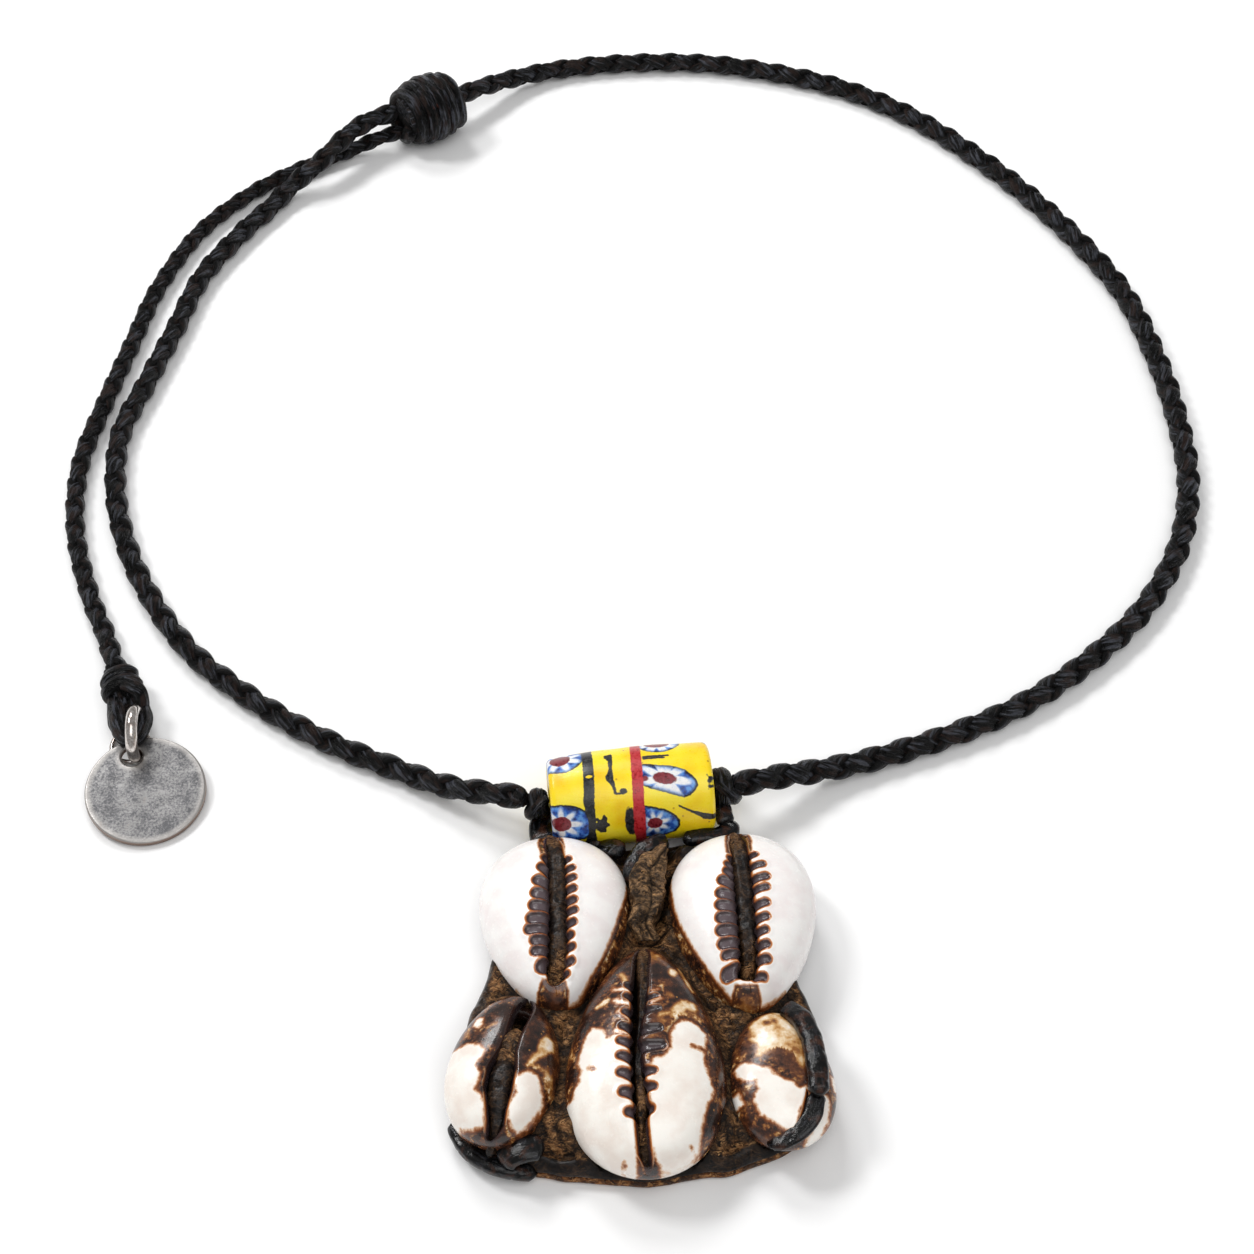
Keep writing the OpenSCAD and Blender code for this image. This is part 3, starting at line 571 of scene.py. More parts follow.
# Soda glass, opacified: clean saturated colours right under a smooth, finely scratched surface
trade_glass = finish_named("trade_glass")
m = trade_glass
mm = in_mm(m)
cloud = add(m, "TexNoise", {"Vector": mm, "Scale": 0.22})
grain = add(m, "TexNoise", {"Vector": mm, "Scale": 2.2, "Detail": 4.0, "Roughness": 0.65})
speck = add(m, "TexVoronoi", {"Vector": mm, "Scale": 0.55})
yellow = add(m, "ValToRGB", {0: cloud}, [
    (0.3, paint("#f3c408")), (0.52, paint("#ffe019")), (0.75, paint("#ffec44"))])
pits = add(m, "ValToRGB", {0: speck}, [(0.05, (0.85, 0.85, 0.85, 1)), (0.11, (0, 0, 0, 1))])
colour = add(m, "Mix", {0: pits, 6: yellow, 7: paint("#a8761a")}, data_type="RGBA", out=2)
wander = add(m, "MapRange", {0: grain, 1: 0.3, 2: 0.7, 3: -0.07, 4: 0.07})

blues = add(m, "ValToRGB", {0: add(m, "TexNoise", {"Vector": mm, "Scale": 1.1})}, [
    (0.34, paint("#17306e")), (0.48, paint("#2458b4")), (0.62, paint("#5f9ade"))])
whites = add(m, "ValToRGB", {0: grain}, [(0.3, paint("#d5dcea")), (0.55, paint("#f4f3f0"))])
reds = add(m, "ValToRGB", {0: grain}, [
    (0.32, paint("#8e161c")), (0.48, paint("#bb222a")), (0.68, paint("#c83a40"))])
cores = add(m, "ValToRGB", {0: grain}, [
    (0.3, paint("#4a0e18")), (0.5, paint("#7e1f2a")), (0.72, paint("#8e3a44"))])
blacks = add(m, "ValToRGB", {0: grain}, [
    (0.35, paint("#0e0e10")), (0.55, paint("#242528")), (0.75, paint("#54534f"))])
# Each layer: the mark whose depth it follows, its colour, how soft its border is and how far inside
for mark, over, soft, inside in (
        ("eye", paint("#101218"), 0.05, 0.0), ("eye", blues, 0.14, 0.32),
        ("star", paint("#a3c0e8"), 0.3, -0.1), ("star", whites, 0.2, 0.12),
        ("core", cores, 0.06, 0.0), ("ink", blacks, 0.05, -0.06), ("band", reds, 0.05, 0.0)):
    depth = add(m, "Attribute", attribute_name=mark, out="Fac")
    moved = add(m, "Math", {0: depth, 1: wander})
    share = add(m, "MapRange", {0: moved, 1: inside - soft, 2: inside + soft})
    colour = add(m, "Mix", {0: share, 6: colour, 7: over}, data_type="RGBA", out=2)
scratch = drawn_out(m, mm, (0.7, 6, 6), 0.5, 3.0)
height = add(m, "Math", {0: scratch, 1: cloud})
bump = add(m, "Bump", {"Height": height, "Strength": 0.25, "Distance": 0.00008})
rough = add(m, "MapRange", {0: grain, 1: 0.3, 2: 0.7, 3: 0.22, 4: 0.42})
glass = add(m, "BsdfPrincipled", {
    "Base Color": colour, "Roughness": rough, "IOR": 1.5, "Subsurface Weight": 0.08,
    "Subsurface Radius": (1.0, 0.6, 0.3), "Subsurface Scale": 0.0004, "Normal": bump})
add(m, "OutputMaterial", {"Surface": glass})

skin("yellow_bead", [bead_grid], trade_glass, "bead_glass", ("trade_bead",), loop=True,
     eye=[eye_in], star=[star_in], core=[core_in], ink=[ink], band=[band])

# The hides: two pieces of tanned goat hide, wetted, pressed round the shells and dried hard. The
# back one is flat and shows as a brown lip; the front one stands up against each shell, is worn
# black and glossy at its rolled lower edge, and stays rough and fibrous between the shells.
# Outline of the front hide in mm, counter-clockwise from the bottom middle, as in the solid
front_outline = [
    [1, -29.1], [6, -28.5], [11.5, -27.4], [16.8, -25.4], [20.6, -22.2], [22.5, -18.2], [22.5, -13],
    [20.5, -6], [18, 1], [16.4, 8], [15.2, 14], [14.2, 17.8], [12.4, 19.4], [10, 18.4], [6, 17.7],
    [0, 17.2], [-6, 16.6], [-11, 15.8], [-14, 13], [-16.4, 6], [-18.6, -2], [-21, -9], [-21.9, -15],
    [-21, -20.5], [-18.8, -24.2], [-15, -27], [-9, -28.5], [-4, -28.9]]
# Each shell: x and y of its middle, turn in degrees, length, width, height, how much broader one
# end is, and which end that is: 1 up towards the bead, -1 down
shells = {
    "upper_left": (-10.6, 3.6, 3, 24.9, 18.9, 7.8, 0.24, 1),
    "upper_right": (13.0, 3.8, 3, 25.5, 18.5, 7.8, 0.24, 1),
    "centre": (0.65, -15.4, 0, 29.8, 19.4, 8.4, 0.28, -1),
    "lower_left": (-16.3, -16.6, -11, 19.8, 13.6, 7.0, 0.12, -1),
    "lower_right": (16.8, -17.4, 8, 17.9, 12.8, 5.2, 0.15, -1)}
shell_low = 2.9                               # mm over the paper where the shells' undersides lie
hide_middle = np.array([0, -4.0])
# The net on which each shell's marks were placed, in the same way. It is a little smaller
nets = {
    "upper_left": (-10.9, 4.0, 3, 23.8, 18.4, 7.8, 0.24, 1),
    "upper_right": (13.1, 4.0, 3, 24.6, 17.8, 7.8, 0.24, 1),
    "centre": (0.5, -15.2, 0, 30.0, 18.8, 8.4, 0.28, -1),
    "lower_left": (-16.1, -16.7, -11, 19.6, 13.6, 7.0, 0.12, -1),
    "lower_right": (16.7, -17.6, 8, 17.2, 12.6, 5.2, 0.15, -1)}


def rim_of(shell, a):
    """A shell's outline at angle a, in its own plan: an oval whose width also grows with the
    cosine, so that it is egg-shaped."""
    long, wide, k, side = shell[3], shell[4], shell[6], shell[7]
    c = (np.sqrt(1 + 8 * k * k) - 1) / (4 * k)
    peak = np.sqrt(1 - c * c) * (1 + k * c)
    return -side * wide / 2 * np.sin(a) * (1 + k * np.cos(a)) / peak, side * long / 2 * np.cos(a)


def share_of(shell, x, y):
    """How far out a point of a shell's plan lies: 0 in the middle, 1 on the outline."""
    ox, oy = rim_of(shell, np.linspace(0, 2 * np.pi, 720, endpoint=False))
    angle = np.arctan2(oy, ox)
    order = np.argsort(angle)
    reach = np.interp(np.arctan2(y, x), angle[order], np.hypot(ox, oy)[order], period=2 * np.pi)
    return np.hypot(x, y) / reach, reach


def in_plan(shell, x, y):
    """A place on the table in a shell's own plan."""
    return turned(x - shell[0], y - shell[1], -shell[2])


def net_shift(key):
    """How far a shell's middle lies from its net's, in its own plan."""
    return in_plan(nets[key], *shells[key][:2])


def dome(shell, share):
    """Height of a shell's back over its rim's plane: a steep side and a flat top."""
    return shell[5] * (0.32 + 0.68 * np.clip(1 - share ** 2.6, 0, 1) ** 0.4545)


# Folds and gathers, each at a place with its half width and height; a hole is below zero, and its colour is
# painted near black as shade
gathers = (
    (5.3, 14.6, 1.5, 2.6), (-3.4, 15.2, 1.3, 2.2), (3.6, 7.6, 1.0, -3.2), (3.8, 9.8, 1.0, -3.0),
    (-0.6, 3.4, 1.3, 1.6), (3.4, 4.6, 1.0, 1.2), (-9.6, -24.0, 2.0, 1.1), (9.8, -23.5, 2.2, 1.0),
    (-10.3, -10.3, 1.6, 1.0), (11.9, -9.8, 1.5, 0.8), (-18.9, -6.2, 1.3, 0.8))


def hide_creases(x, y):
    """Where the hide is creased, 1 in the middle of each: along the lines where a slow random
    height, bent by another, passes zero. The holes count as creases. Also gives where the hide
    meets a shell's side. The first cuts creases into the hide's top; both together paint shade,
    near black, in the creases, the holes and along the shells' sides."""
    bent_x, bent_y = x + 1.2 * lumps(x, y, 2.9, 21), y + 1.2 * lumps(x, y, 2.9, 22)
    long = np.exp(-(lumps(bent_x * 1.2 + bent_y * 0.5, bent_y - 0.6 * bent_x, 3.0, 4) / 0.13) ** 2)
    short = np.exp(-(lumps(bent_x, bent_y, 1.6, 24) / 0.14) ** 2)
    short = short * np.clip(lumps(x, y, 3.4, 25) * 2 + 0.3, 0, 0.8)
    holes = [np.exp(-((x - at_x) ** 2 + (y - at_y) ** 2) / half ** 2)
             for at_x, at_y, half, up in gathers if up < 0]
    edge = np.clip(depth_in(front_outline, x, y) / 1.5 - 0.5, 0, 1)
    beside = []
    for shell in shells.values():
        share, reach = share_of(shell, *in_plan(shell, x, y))
        # Painted shade along each shell's side, where the hide meets it
        beside.append(0.75 * np.exp(-(np.clip((share - 1) * reach, 0, None) / 0.7) ** 2))
    return np.maximum.reduce([long * edge, short * edge] + holes), np.maximum.reduce(beside)


def hide_height(x, y):
    """Top of the front hide: flat, thinner towards the bead, drawn up against each shell's side,
    lumpy, creased and fibrous; under the shells it drops to its seats."""
    # its top stands at 4.6 mm and falls by 2.7 to 1.9 mm between y 11 and y 17.5
    base = np.where(y < 11, 4.6, np.where(y > 17.5, 1.9, 4.6 - 2.7 * (y - 11) / 6.5))
    # it slopes down towards the rolled lower edge
    inward = depth_in(front_outline, x, y)
    full = 1 - np.clip(1 - inward / 4.5, 0, 1) * np.clip((-17 - y) / 4, 0, 1)
    base = 2.3 + (base - 2.3) * full
    # mm that the hide laps up over a shell's rim; over the upper two it is 0.4
    lap = {"centre": 0.7, "lower_left": 0.9, "lower_right": 0.5}
    rise, under, clear = np.zeros_like(x), np.zeros(x.shape, bool), np.full(x.shape, 9.0)
    for key, shell in shells.items():
        share, reach = share_of(shell, *in_plan(shell, x, y))
        away = (share - 1) * reach
        top = shell_low + 0.32 * shell[5] + lap.get(key, 0.4)
        lift = np.clip(top - base, 0, None) * np.exp(-(np.clip(away, 0, None) / 1.35) ** 1.4)
        rise = np.maximum(rise, lift)
        under |= away < -0.45
        clear = np.minimum(clear, away)
    for at_x, at_y, half, up in gathers:
        rise = rise + up * np.exp(-((x - at_x) ** 2 + (y - at_y) ** 2) / half ** 2)
    rise = rise * full
    rough = (0.3 + 0.7 * full) * (0.55 * lumps(x, y, 2.6, 1) + 0.2 * lumps(x + y, x - y, 1.1, 2)
                                  + 0.06 * lumps(x, y, 0.45, 3) - 0.45 * hide_creases(x, y)[0]
                                  + 0.2 * (1 - full) * lumps(x, y, 1.5, 21))
    rough = rough * np.clip(clear / 1.2, 0.35, 1)
    # the rolled lower edge and the crease behind it
    roll = 0.4 * np.exp(-((inward - 0.9) / 0.6) ** 2) - 0.8 * np.exp(-((inward - 2.0) / 0.35) ** 2)
    roll = roll * np.clip((-17 - y) / 4, 0, 1) * np.clip(clear / 1.5, 0, 1)
    return np.where(under, 2.5, np.maximum(base + rise + rough + roll - 0.1, 1.5))


def pressed_hide(outline, past, low, top, rows, round_, roll):
    """A hide as a closed surface: from the middle of its underside out to the edge, round it on a
    rolled edge of the given radius, and over the top back to the hide_middle. `top` gives the height
    of the upper side at a place. Returns the grid and how far each point is from the edge."""
    line, run = line_through(outline + outline[:1], 0.05)
    at = np.linspace(0, run[-1], round_, endpoint=False)
    edge = np.stack([np.interp(at, run, line[:, i]) for i in (0, 1)], 1)
    ray = edge - hide_middle
    far = np.linalg.norm(ray, axis=1)
    far = far + past + 0.3 * lumps(np.cos(at / run[-1] * 2 * np.pi) * 30,
                                   np.sin(at / run[-1] * 2 * np.pi) * 30, 3.1, 6)
    ray = unit(ray)
    under = [(hide_middle + ray * (far * s)[:, None], np.full(round_, low)) for s in (0.04, 0.5, 0.9)]
    curl, over = [], []
    for t in np.linspace(-0.45 * np.pi, 0.5 * np.pi, 12):
        p = hide_middle + ray * (far - roll + roll * np.cos(t))[:, None]
        full = top(*p.T) - low
        curl.append((p, low + full * (0.5 + 0.5 * np.sin(t))))
    for s in np.linspace(1, 0.02, rows)[1:]:
        p = hide_middle + ray * ((far - roll) * s)[:, None]
        over.append((p, top(*p.T)))
    rings = under + curl + over
    grid = np.stack([np.column_stack([p, z]) for p, z in rings])
    inward = far[None] - np.linalg.norm(grid[..., :2] - hide_middle, axis=2)
    return grid, inward


def tanned(name, dark, mid, pale, gloss_to):
    """Tanned goat hide: dark fibrous leather, with paler loose fibres about 0.3 mm wide on its
    flesh side, and worn glossy black where the mark `worn` says so. By the mark for creases the
    colour is painted near black as shade, in creases, holes and beside the shells."""
    m = finish_named(name)
    mm = in_mm(m)
    warp = add(m, "TexNoise", {"Vector": mm, "Scale": 0.6, "Detail": 3.0}, out="Color")
    bent = add(m, "VectorMath", {0: warp, 1: (2.2, 2.2, 2.2)}, operation="MULTIPLY")
    bent = add(m, "VectorMath", {0: mm, 1: bent})
    fibre = drawn_out(m, bent, (0.8, 2.4, 1.6), 0.7, 4.0, 0.6)
    waxed = add(m, "TexNoise", {"Vector": bent, "Scale": 0.42, "Detail": 3.0, "Roughness": 0.55})
    tone = add(m, "ValToRGB", {0: fibre}, [
        (0.34, paint(dark)), (0.46, paint(mid)), (0.58, paint(pale)), (0.72, paint("#c09468"))])
    wax = add(m, "MapRange", {0: waxed, 1: 0.44, 2: 0.58, 4: 0.85})
    colour = add(m, "Mix", {0: wax, 6: tone, 7: paint(dark)}, data_type="RGBA", out=2)
    for turn, from_here in ((-0.9, 0.6), (0.5, 0.62)):
        hair = drawn_out(m, bent, (1.3, 6.5, 4.0), turn, 1.0)
        shown = add(m, "MapRange", {0: hair, 1: from_here, 2: from_here + 0.06, 4: 0.75})
        dry = add(m, "MapRange", {0: wax, 1: 0.0, 2: 0.85, 3: 1.0, 4: 0.25})
        shown = add(m, "Math", {0: shown, 1: dry}, operation="MULTIPLY")
        colour = add(m, "Mix", {0: shown, 6: colour, 7: paint("#b5895a")}, data_type="RGBA", out=2)
    worn = add(m, "Attribute", attribute_name="worn", out="Fac")
    patchy = add(m, "Math", {0: worn, 1: fibre})
    worn = add(m, "MapRange", {0: patchy, 1: 0.85, 2: 1.2, 4: 0.88})
    black = add(m, "ValToRGB", {0: fibre}, [(0.4, paint("#050506")), (0.65, paint(gloss_to))])
    colour = add(m, "Mix", {0: worn, 6: colour, 7: black}, data_type="RGBA", out=2)
    # Painted shade: near black in creases, holes and where the hide meets a shell's side
    crease = add(m, "Attribute", attribute_name="crease", out="Fac")
    crease = add(m, "MapRange", {0: crease, 1: 0.25, 2: 0.95, 4: 0.88})
    colour = add(m, "Mix", {0: crease, 6: colour, 7: paint("#0c0704")}, data_type="RGBA", out=2)
    smooth = add(m, "Math", {0: worn, 1: wax}, operation="MAXIMUM")
    rough = add(m, "MapRange", {0: smooth, 1: 0.0, 2: 0.9, 3: 0.62, 4: 0.27})
    rough = add(m, "Mix", {0: crease, 2: rough, 3: 0.8})
    depth = add(m, "MapRange", {0: worn, 1: 0.0, 2: 1.0, 3: 0.00045, 4: 0.00007})
    bump = add(m, "Bump", {"Height": fibre, "Distance": depth})
    skin_side = add(m, "BsdfPrincipled",
                    {"Base Color": colour, "Roughness": rough, "Specular IOR Level": 0.2, "Normal": bump})
    add(m, "OutputMaterial", {"Surface": skin_side})
    return m


pressed_goat_hide = tanned("pressed_goat_hide", "#0d0704", "#492f1b", "#8c623c", "#161517")
brown_goat_hide = tanned("brown_goat_hide", "#241309", "#5a3418", "#8c5a30", "#1a1310")

back_grid, back_in = pressed_hide(front_outline, 0.12, 0.05, lambda x, y: 1.4 + 0.08 * lumps(x, y, 2.5, 8),
                                  26, 200, 0.5)
skin("back_hide", [back_grid], brown_goat_hide, "back_hide", ("hide_back",), worn=[0 * back_in + 0.15],
     crease=[0 * back_in])

front_grid, front_in = pressed_hide(front_outline, 0.0, 1.35, hide_height, 98, 470, 1.0)
front_x, front_y = front_grid[..., 0], front_grid[..., 1]
front_worn = np.maximum.reduce(
    [np.exp(-(front_in / 1.5) ** 6) * np.clip((-18 - front_y) / 4, 0, 1),
     0.75 * np.exp(-(front_in / 1.1) ** 4), 1.1 * np.clip((front_y - 12.2) / 1.5, 0, 1),
     0.8 * np.clip((-17.6 - front_x) / 1.5, 0, 1)
     * np.clip((front_y + 11) / 3, 0, 1)]) + 0.32 * lumps(front_x, front_y, 1.7, 9)


def slit_filling(shell, rows):
    """The hide that shows inside a slit: a ridge along the slit, through rows of (place along,
    middle, half width, top) in the shell's own shares, with rough lumps."""
    x0, y0, turn, long, wide, high = shell[:6]
    line, run = line_through([(u * wide / 2, v * long / 2, shell_low + top * high)
                              for v, u, half, top in rows], 0.3)
    half = np.interp(run, np.linspace(0, run[-1], len(rows)), [r[2] * wide / 2 for r in rows])
    grid, lay = strand(line - [0, 0, 1.4], half, 1.4, 20)
    grid[..., 2] += (0.2 * lumps(grid[..., 0], grid[..., 1], 0.7, 13)
                     + 0.2 * lumps(grid[..., 1], grid[..., 0], 1.7, 14)
                     - 0.35 * np.exp(-((lay[..., 1] - 0.35 * lumps(lay[..., 0], 0, 2.5, 12)) / 0.16) ** 2))
    t = np.radians(turn)
    gx, gy = grid[..., 0].copy(), grid[..., 1].copy()
    grid[..., 0], grid[..., 1] = x0 + gx * np.cos(t) - gy * np.sin(t), y0 + gx * np.sin(t) + gy * np.cos(t)
    return grid, np.interp(grid[..., 1], [y0 - 8, y0 - 3, y0 + 5, y0 + 10], [0.3, 0.85, 0.85, 0.5])


fillings = [slit_filling(nets[key], rows) for key, rows in (
    ("upper_left", [(-0.97, -0.04, 0.1, 0.35), (-0.72, 0.02, 0.14, 0.6), (-0.5, 0.07, 0.16, 0.78),
                    (-0.1, 0.09, 0.15, 0.88), (0.3, 0.1, 0.14, 0.92), (0.6, 0.09, 0.14, 0.86),
                    (0.82, 0.05, 0.14, 0.7), (0.96, 0.02, 0.12, 0.5)]),
    ("upper_right", [(-0.97, -0.09, 0.1, 0.35), (-0.75, -0.05, 0.1, 0.48), (-0.45, -0.01, 0.13, 0.74),
                     (-0.1, 0, 0.14, 0.88), (0.3, 0, 0.14, 0.92), (0.6, -0.02, 0.14, 0.86),
                     (0.82, -0.03, 0.14, 0.7), (0.96, -0.03, 0.13, 0.5)]),
    ("centre", [(-0.97, 0.03, 0.1, 0.4), (-0.7, -0.03, 0.08, 0.62), (-0.45, -0.04, 0.07, 0.78),
                (-0.1, -0.07, 0.07, 0.78), (0.3, -0.03, 0.07, 0.72), (0.7, 0.0, 0.1, 0.78),
                (0.95, 0.0, 0.12, 0.5)]),
    ("lower_left", [(-0.97, 0.06, 0.1, 0.3), (-0.75, 0.1, 0.12, 0.66), (-0.45, 0.03, 0.2, 0.86),
                    (-0.15, 0.02, 0.22, 0.95), (0.0, 0.02, 0.18, 0.8)]),
    ("lower_left", [(-0.12, 0.02, 0.2, 0.84), (0.08, 0.04, 0.24, 0.94), (0.28, 0.05, 0.22, 0.9),
                    (0.42, 0.06, 0.12, 0.66)]))]
# The lower left shell's plug is worn glossy below and rough above
for number, gloss in ((3, 1.3), (4, -0.2)):
    fillings[number] = (fillings[number][0], 0 * fillings[number][1] + gloss)
# The mark for creases paints shade on the front hide: near black in its creases, its holes and along the
# shells' sides
skin("front_hide", [front_grid] + [grid for grid, _ in fillings], pressed_goat_hide, "front_hide",
     ("hide_front",), worn=[front_worn] + [worn for _, worn in fillings],
     crease=[np.maximum(*hide_creases(front_x, front_y))] + [0 * worn for _, worn in fillings])

# The fold between the two upper shells: a strip of the same hide, gathered and bent up, dry and
# grey-brown, crumpled, with a deep crease along its right side; its creases are painted near black
# as shade. Its upper end goes in under the thongs.
fold_line, fold_run = line_through([[0.9, 1.6, 5.2], [0.5, 3.6, 6.2], [0.5, 6.4, 6.9], [1.1, 9.2, 7.2],
                                    [2.2, 11.8, 7.2], [3.0, 13.6, 6.4]], 0.1)
fold_grid, fold_lay = strand(fold_line,
                             np.interp(fold_run, [0, 1.5, 5, 9, 12.5], [1.5, 1.5, 2.1, 2.2, 1.1]), 1.5, 60,
                             square=0.75)
top = np.clip(fold_lay[..., 2] / 1.2, 0, 1)
bent_x = fold_grid[..., 0] * 1.5 + 0.9 * fold_grid[..., 1]
bent_y = fold_grid[..., 1] * 1.1 - 0.5 * fold_grid[..., 0]
fold_creases = np.maximum(np.exp(-(lumps(bent_x, bent_y * 0.8, 2.2, 15) / 0.22) ** 2) * 0.7,
                          np.exp(-((fold_lay[..., 1] - 0.6) / 0.28) ** 2)) * top
fold_grid[..., 2] += top * (0.55 * lumps(bent_x, bent_y, 2.0, 16)
                            + 0.25 * lumps(bent_y, bent_x, 0.9, 18)) - 0.4 * fold_creases
fold_grid[..., 0] += (0.6 * lumps(fold_grid[..., 1], fold_grid[..., 2], 2.3, 17)
                      + 0.2 * lumps(fold_grid[..., 1], fold_grid[..., 2], 0.8, 19))
fold_grid[..., 2] = np.maximum(fold_grid[..., 2], 4.7)
dry_goat_hide = tanned("dry_goat_hide", "#1f150e", "#58432f", "#937455", "#2c2829")
# The mark for creases paints the fold's creases near black as shade
skin("folded_hide", [fold_grid], dry_goat_hide, "fold_hide", ("hide_fold",), worn=[0 * fold_lay[..., 0]],
     crease=[fold_creases])

# The shells: money cowries, ground open behind and bedded in the hide with their toothed slit up.
# Porcelain-like enamel, white on the upper two, brown with white patches on the lower three.


def cowrie_surface(key, slit, reach=(-0.965, 0.965), lip=1.5, grooves=None, count=500, rows=62):
    """A shell with its slit, as a ring-shaped surface. From the rim's underside it goes round the
    rim, over the dome along lines that close in on the slit, rolls over the slit's lip, and comes
    back inside the hollow to the rim. `slit` gives the slit's left and right edge along it, on the
    shell's net. Returns the grid, each point's place on the net, and how far it is past the lip."""
    shell, net, (off_x, off_y) = shells[key], nets[key], net_shift(key)
    x0, y0, turn, long, _, high, _, side = shell
    a = np.linspace(0, 2 * np.pi, count, endpoint=False)
    rim = np.stack(rim_of(shell, a), 1)
    v = np.mean(reach) + np.diff(reach)[0] / 2 * side * np.cos(a)
    table = np.asarray(slit, float)
    on_net = (v * long / 2 + off_y) / (net[3] / 2)
    left, right = (np.interp(on_net, table[:, 0], table[:, i]) * net[4] / 2 - off_x for i in (1, 2))
    half = (right - left) / 2 * np.clip(np.abs(np.sin(a)) * 3.2, 0, 1) ** 0.6
    edge = np.stack([(left + right) / 2 - side * np.sign(np.sin(a)) * half, v * long / 2], 1)
    if grooves is not None:
        wavy = np.clip(grooves(edge[:, 0] + off_x, edge[:, 1] + off_y) / 0.35, -0.6, 1)
        edge[:, 0] += -side * np.sign(np.sin(a)) * 0.22 * wavy
    tau = np.linspace(0, 1, rows)[1:, None, None]
    t = tau ** 1.8 * (1.6 - 0.6 * tau)
    over = rim * (1 - t) + edge * t
    share, _ = share_of(shell, over[..., 0], over[..., 1])
    z = dome(shell, np.clip(share, 0, 1))
    away = np.linalg.norm(over - edge, axis=2)
    room = np.minimum(lip, 0.6 * np.linalg.norm(rim - edge, axis=1))[None]
    near = np.clip(1 - away / room, 0, 1)
    z = z - room * (1 - np.sqrt(1 - near ** 2 * 0.998))
    turn_in = np.linspace(-np.pi / 2, 0, 8)[:, None, None]
    under = rim * (0.88 + 0.12 * np.cos(turn_in))
    under_z = high * (0.32 + 0.32 * np.sin(turn_in[..., 0])) + 0 * a
    drop = np.linspace(0.2, 1, 5)[:, None]
    wall = edge + (unit(rim - edge) * np.minimum(0.25, 0.3 * room[0])[:, None])[None] * drop[..., None] ** 2
    wall_z = z[-1] - drop * np.minimum(2.2, 0.5 * z[-1])
    back = np.linspace(0.94, 0.0, 9)[:, None, None]
    hollow = rim * 0.8 * (1 - back) + wall[-1] * back
    hollow_share, _ = share_of(shell, hollow[..., 0], hollow[..., 1])
    ease = np.clip((1 - back[..., 0]) * 3, 0, 1)
    hollow_z = wall_z[-1] * (1 - ease) + (dome(shell, np.clip(hollow_share, 0, 1)) * 0.6 - 0.4) * ease
    hollow_z[-1] = 0.0
    plan = np.concatenate([under, over, wall, hollow])
    height = np.concatenate([under_z, z, wall_z, hollow_z])
    past = np.concatenate([0 * under_z - 9, -away, 1.2 * drop + 0 * a, 0 * hollow_z + 3])
    c, s = np.cos(np.radians(turn)), np.sin(np.radians(turn))
    grid = np.stack([x0 + plan[..., 0] * c - plan[..., 1] * s, y0 + plan[..., 0] * s + plan[..., 1] * c,
                     shell_low + height], -1)
    return grid, plan[..., 0] + off_x, plan[..., 1] + off_y, past


def streak(points, half, x, y):
    """How deep a point lies in a line of the given half width."""
    p = np.asarray(points, float)
    near = np.full(x.shape, 1e9)
    for (ax, ay), (bx, by) in zip(p[:-1], p[1:]):
        near = np.minimum(near, off_line(ax, ay, bx, by, x, y))
    return half - near


def teeth(shell, marks, shift=0.0, point=0.0):
    """The dark grooves between a cowrie's teeth, as a function of the plan place: each runs from
    the slit to its outer end (v, u, inner u, half height in mm, how far the inner end is lower).
    `point` is how much the outer end is narrower, as a share."""
    long, wide = shell[3], shell[4]

    def depth(x, y):
        best = np.full(x.shape, -9.0)
        for v, outer, inner, half, fall in marks:
            sign = 1 if outer > inner else -1
            a = (outer * wide / 2 - sign * half * (1 - point), v * long / 2 - shift)
            b = (inner * wide / 2, v * long / 2 - shift - fall)
            t = np.clip((x - a[0]) / (b[0] - a[0] + 1e-9), 0, 1)
            best = np.maximum(best, streak([a, b], half * (1 - point * (1 - t)), x, y))
        return best
    return depth


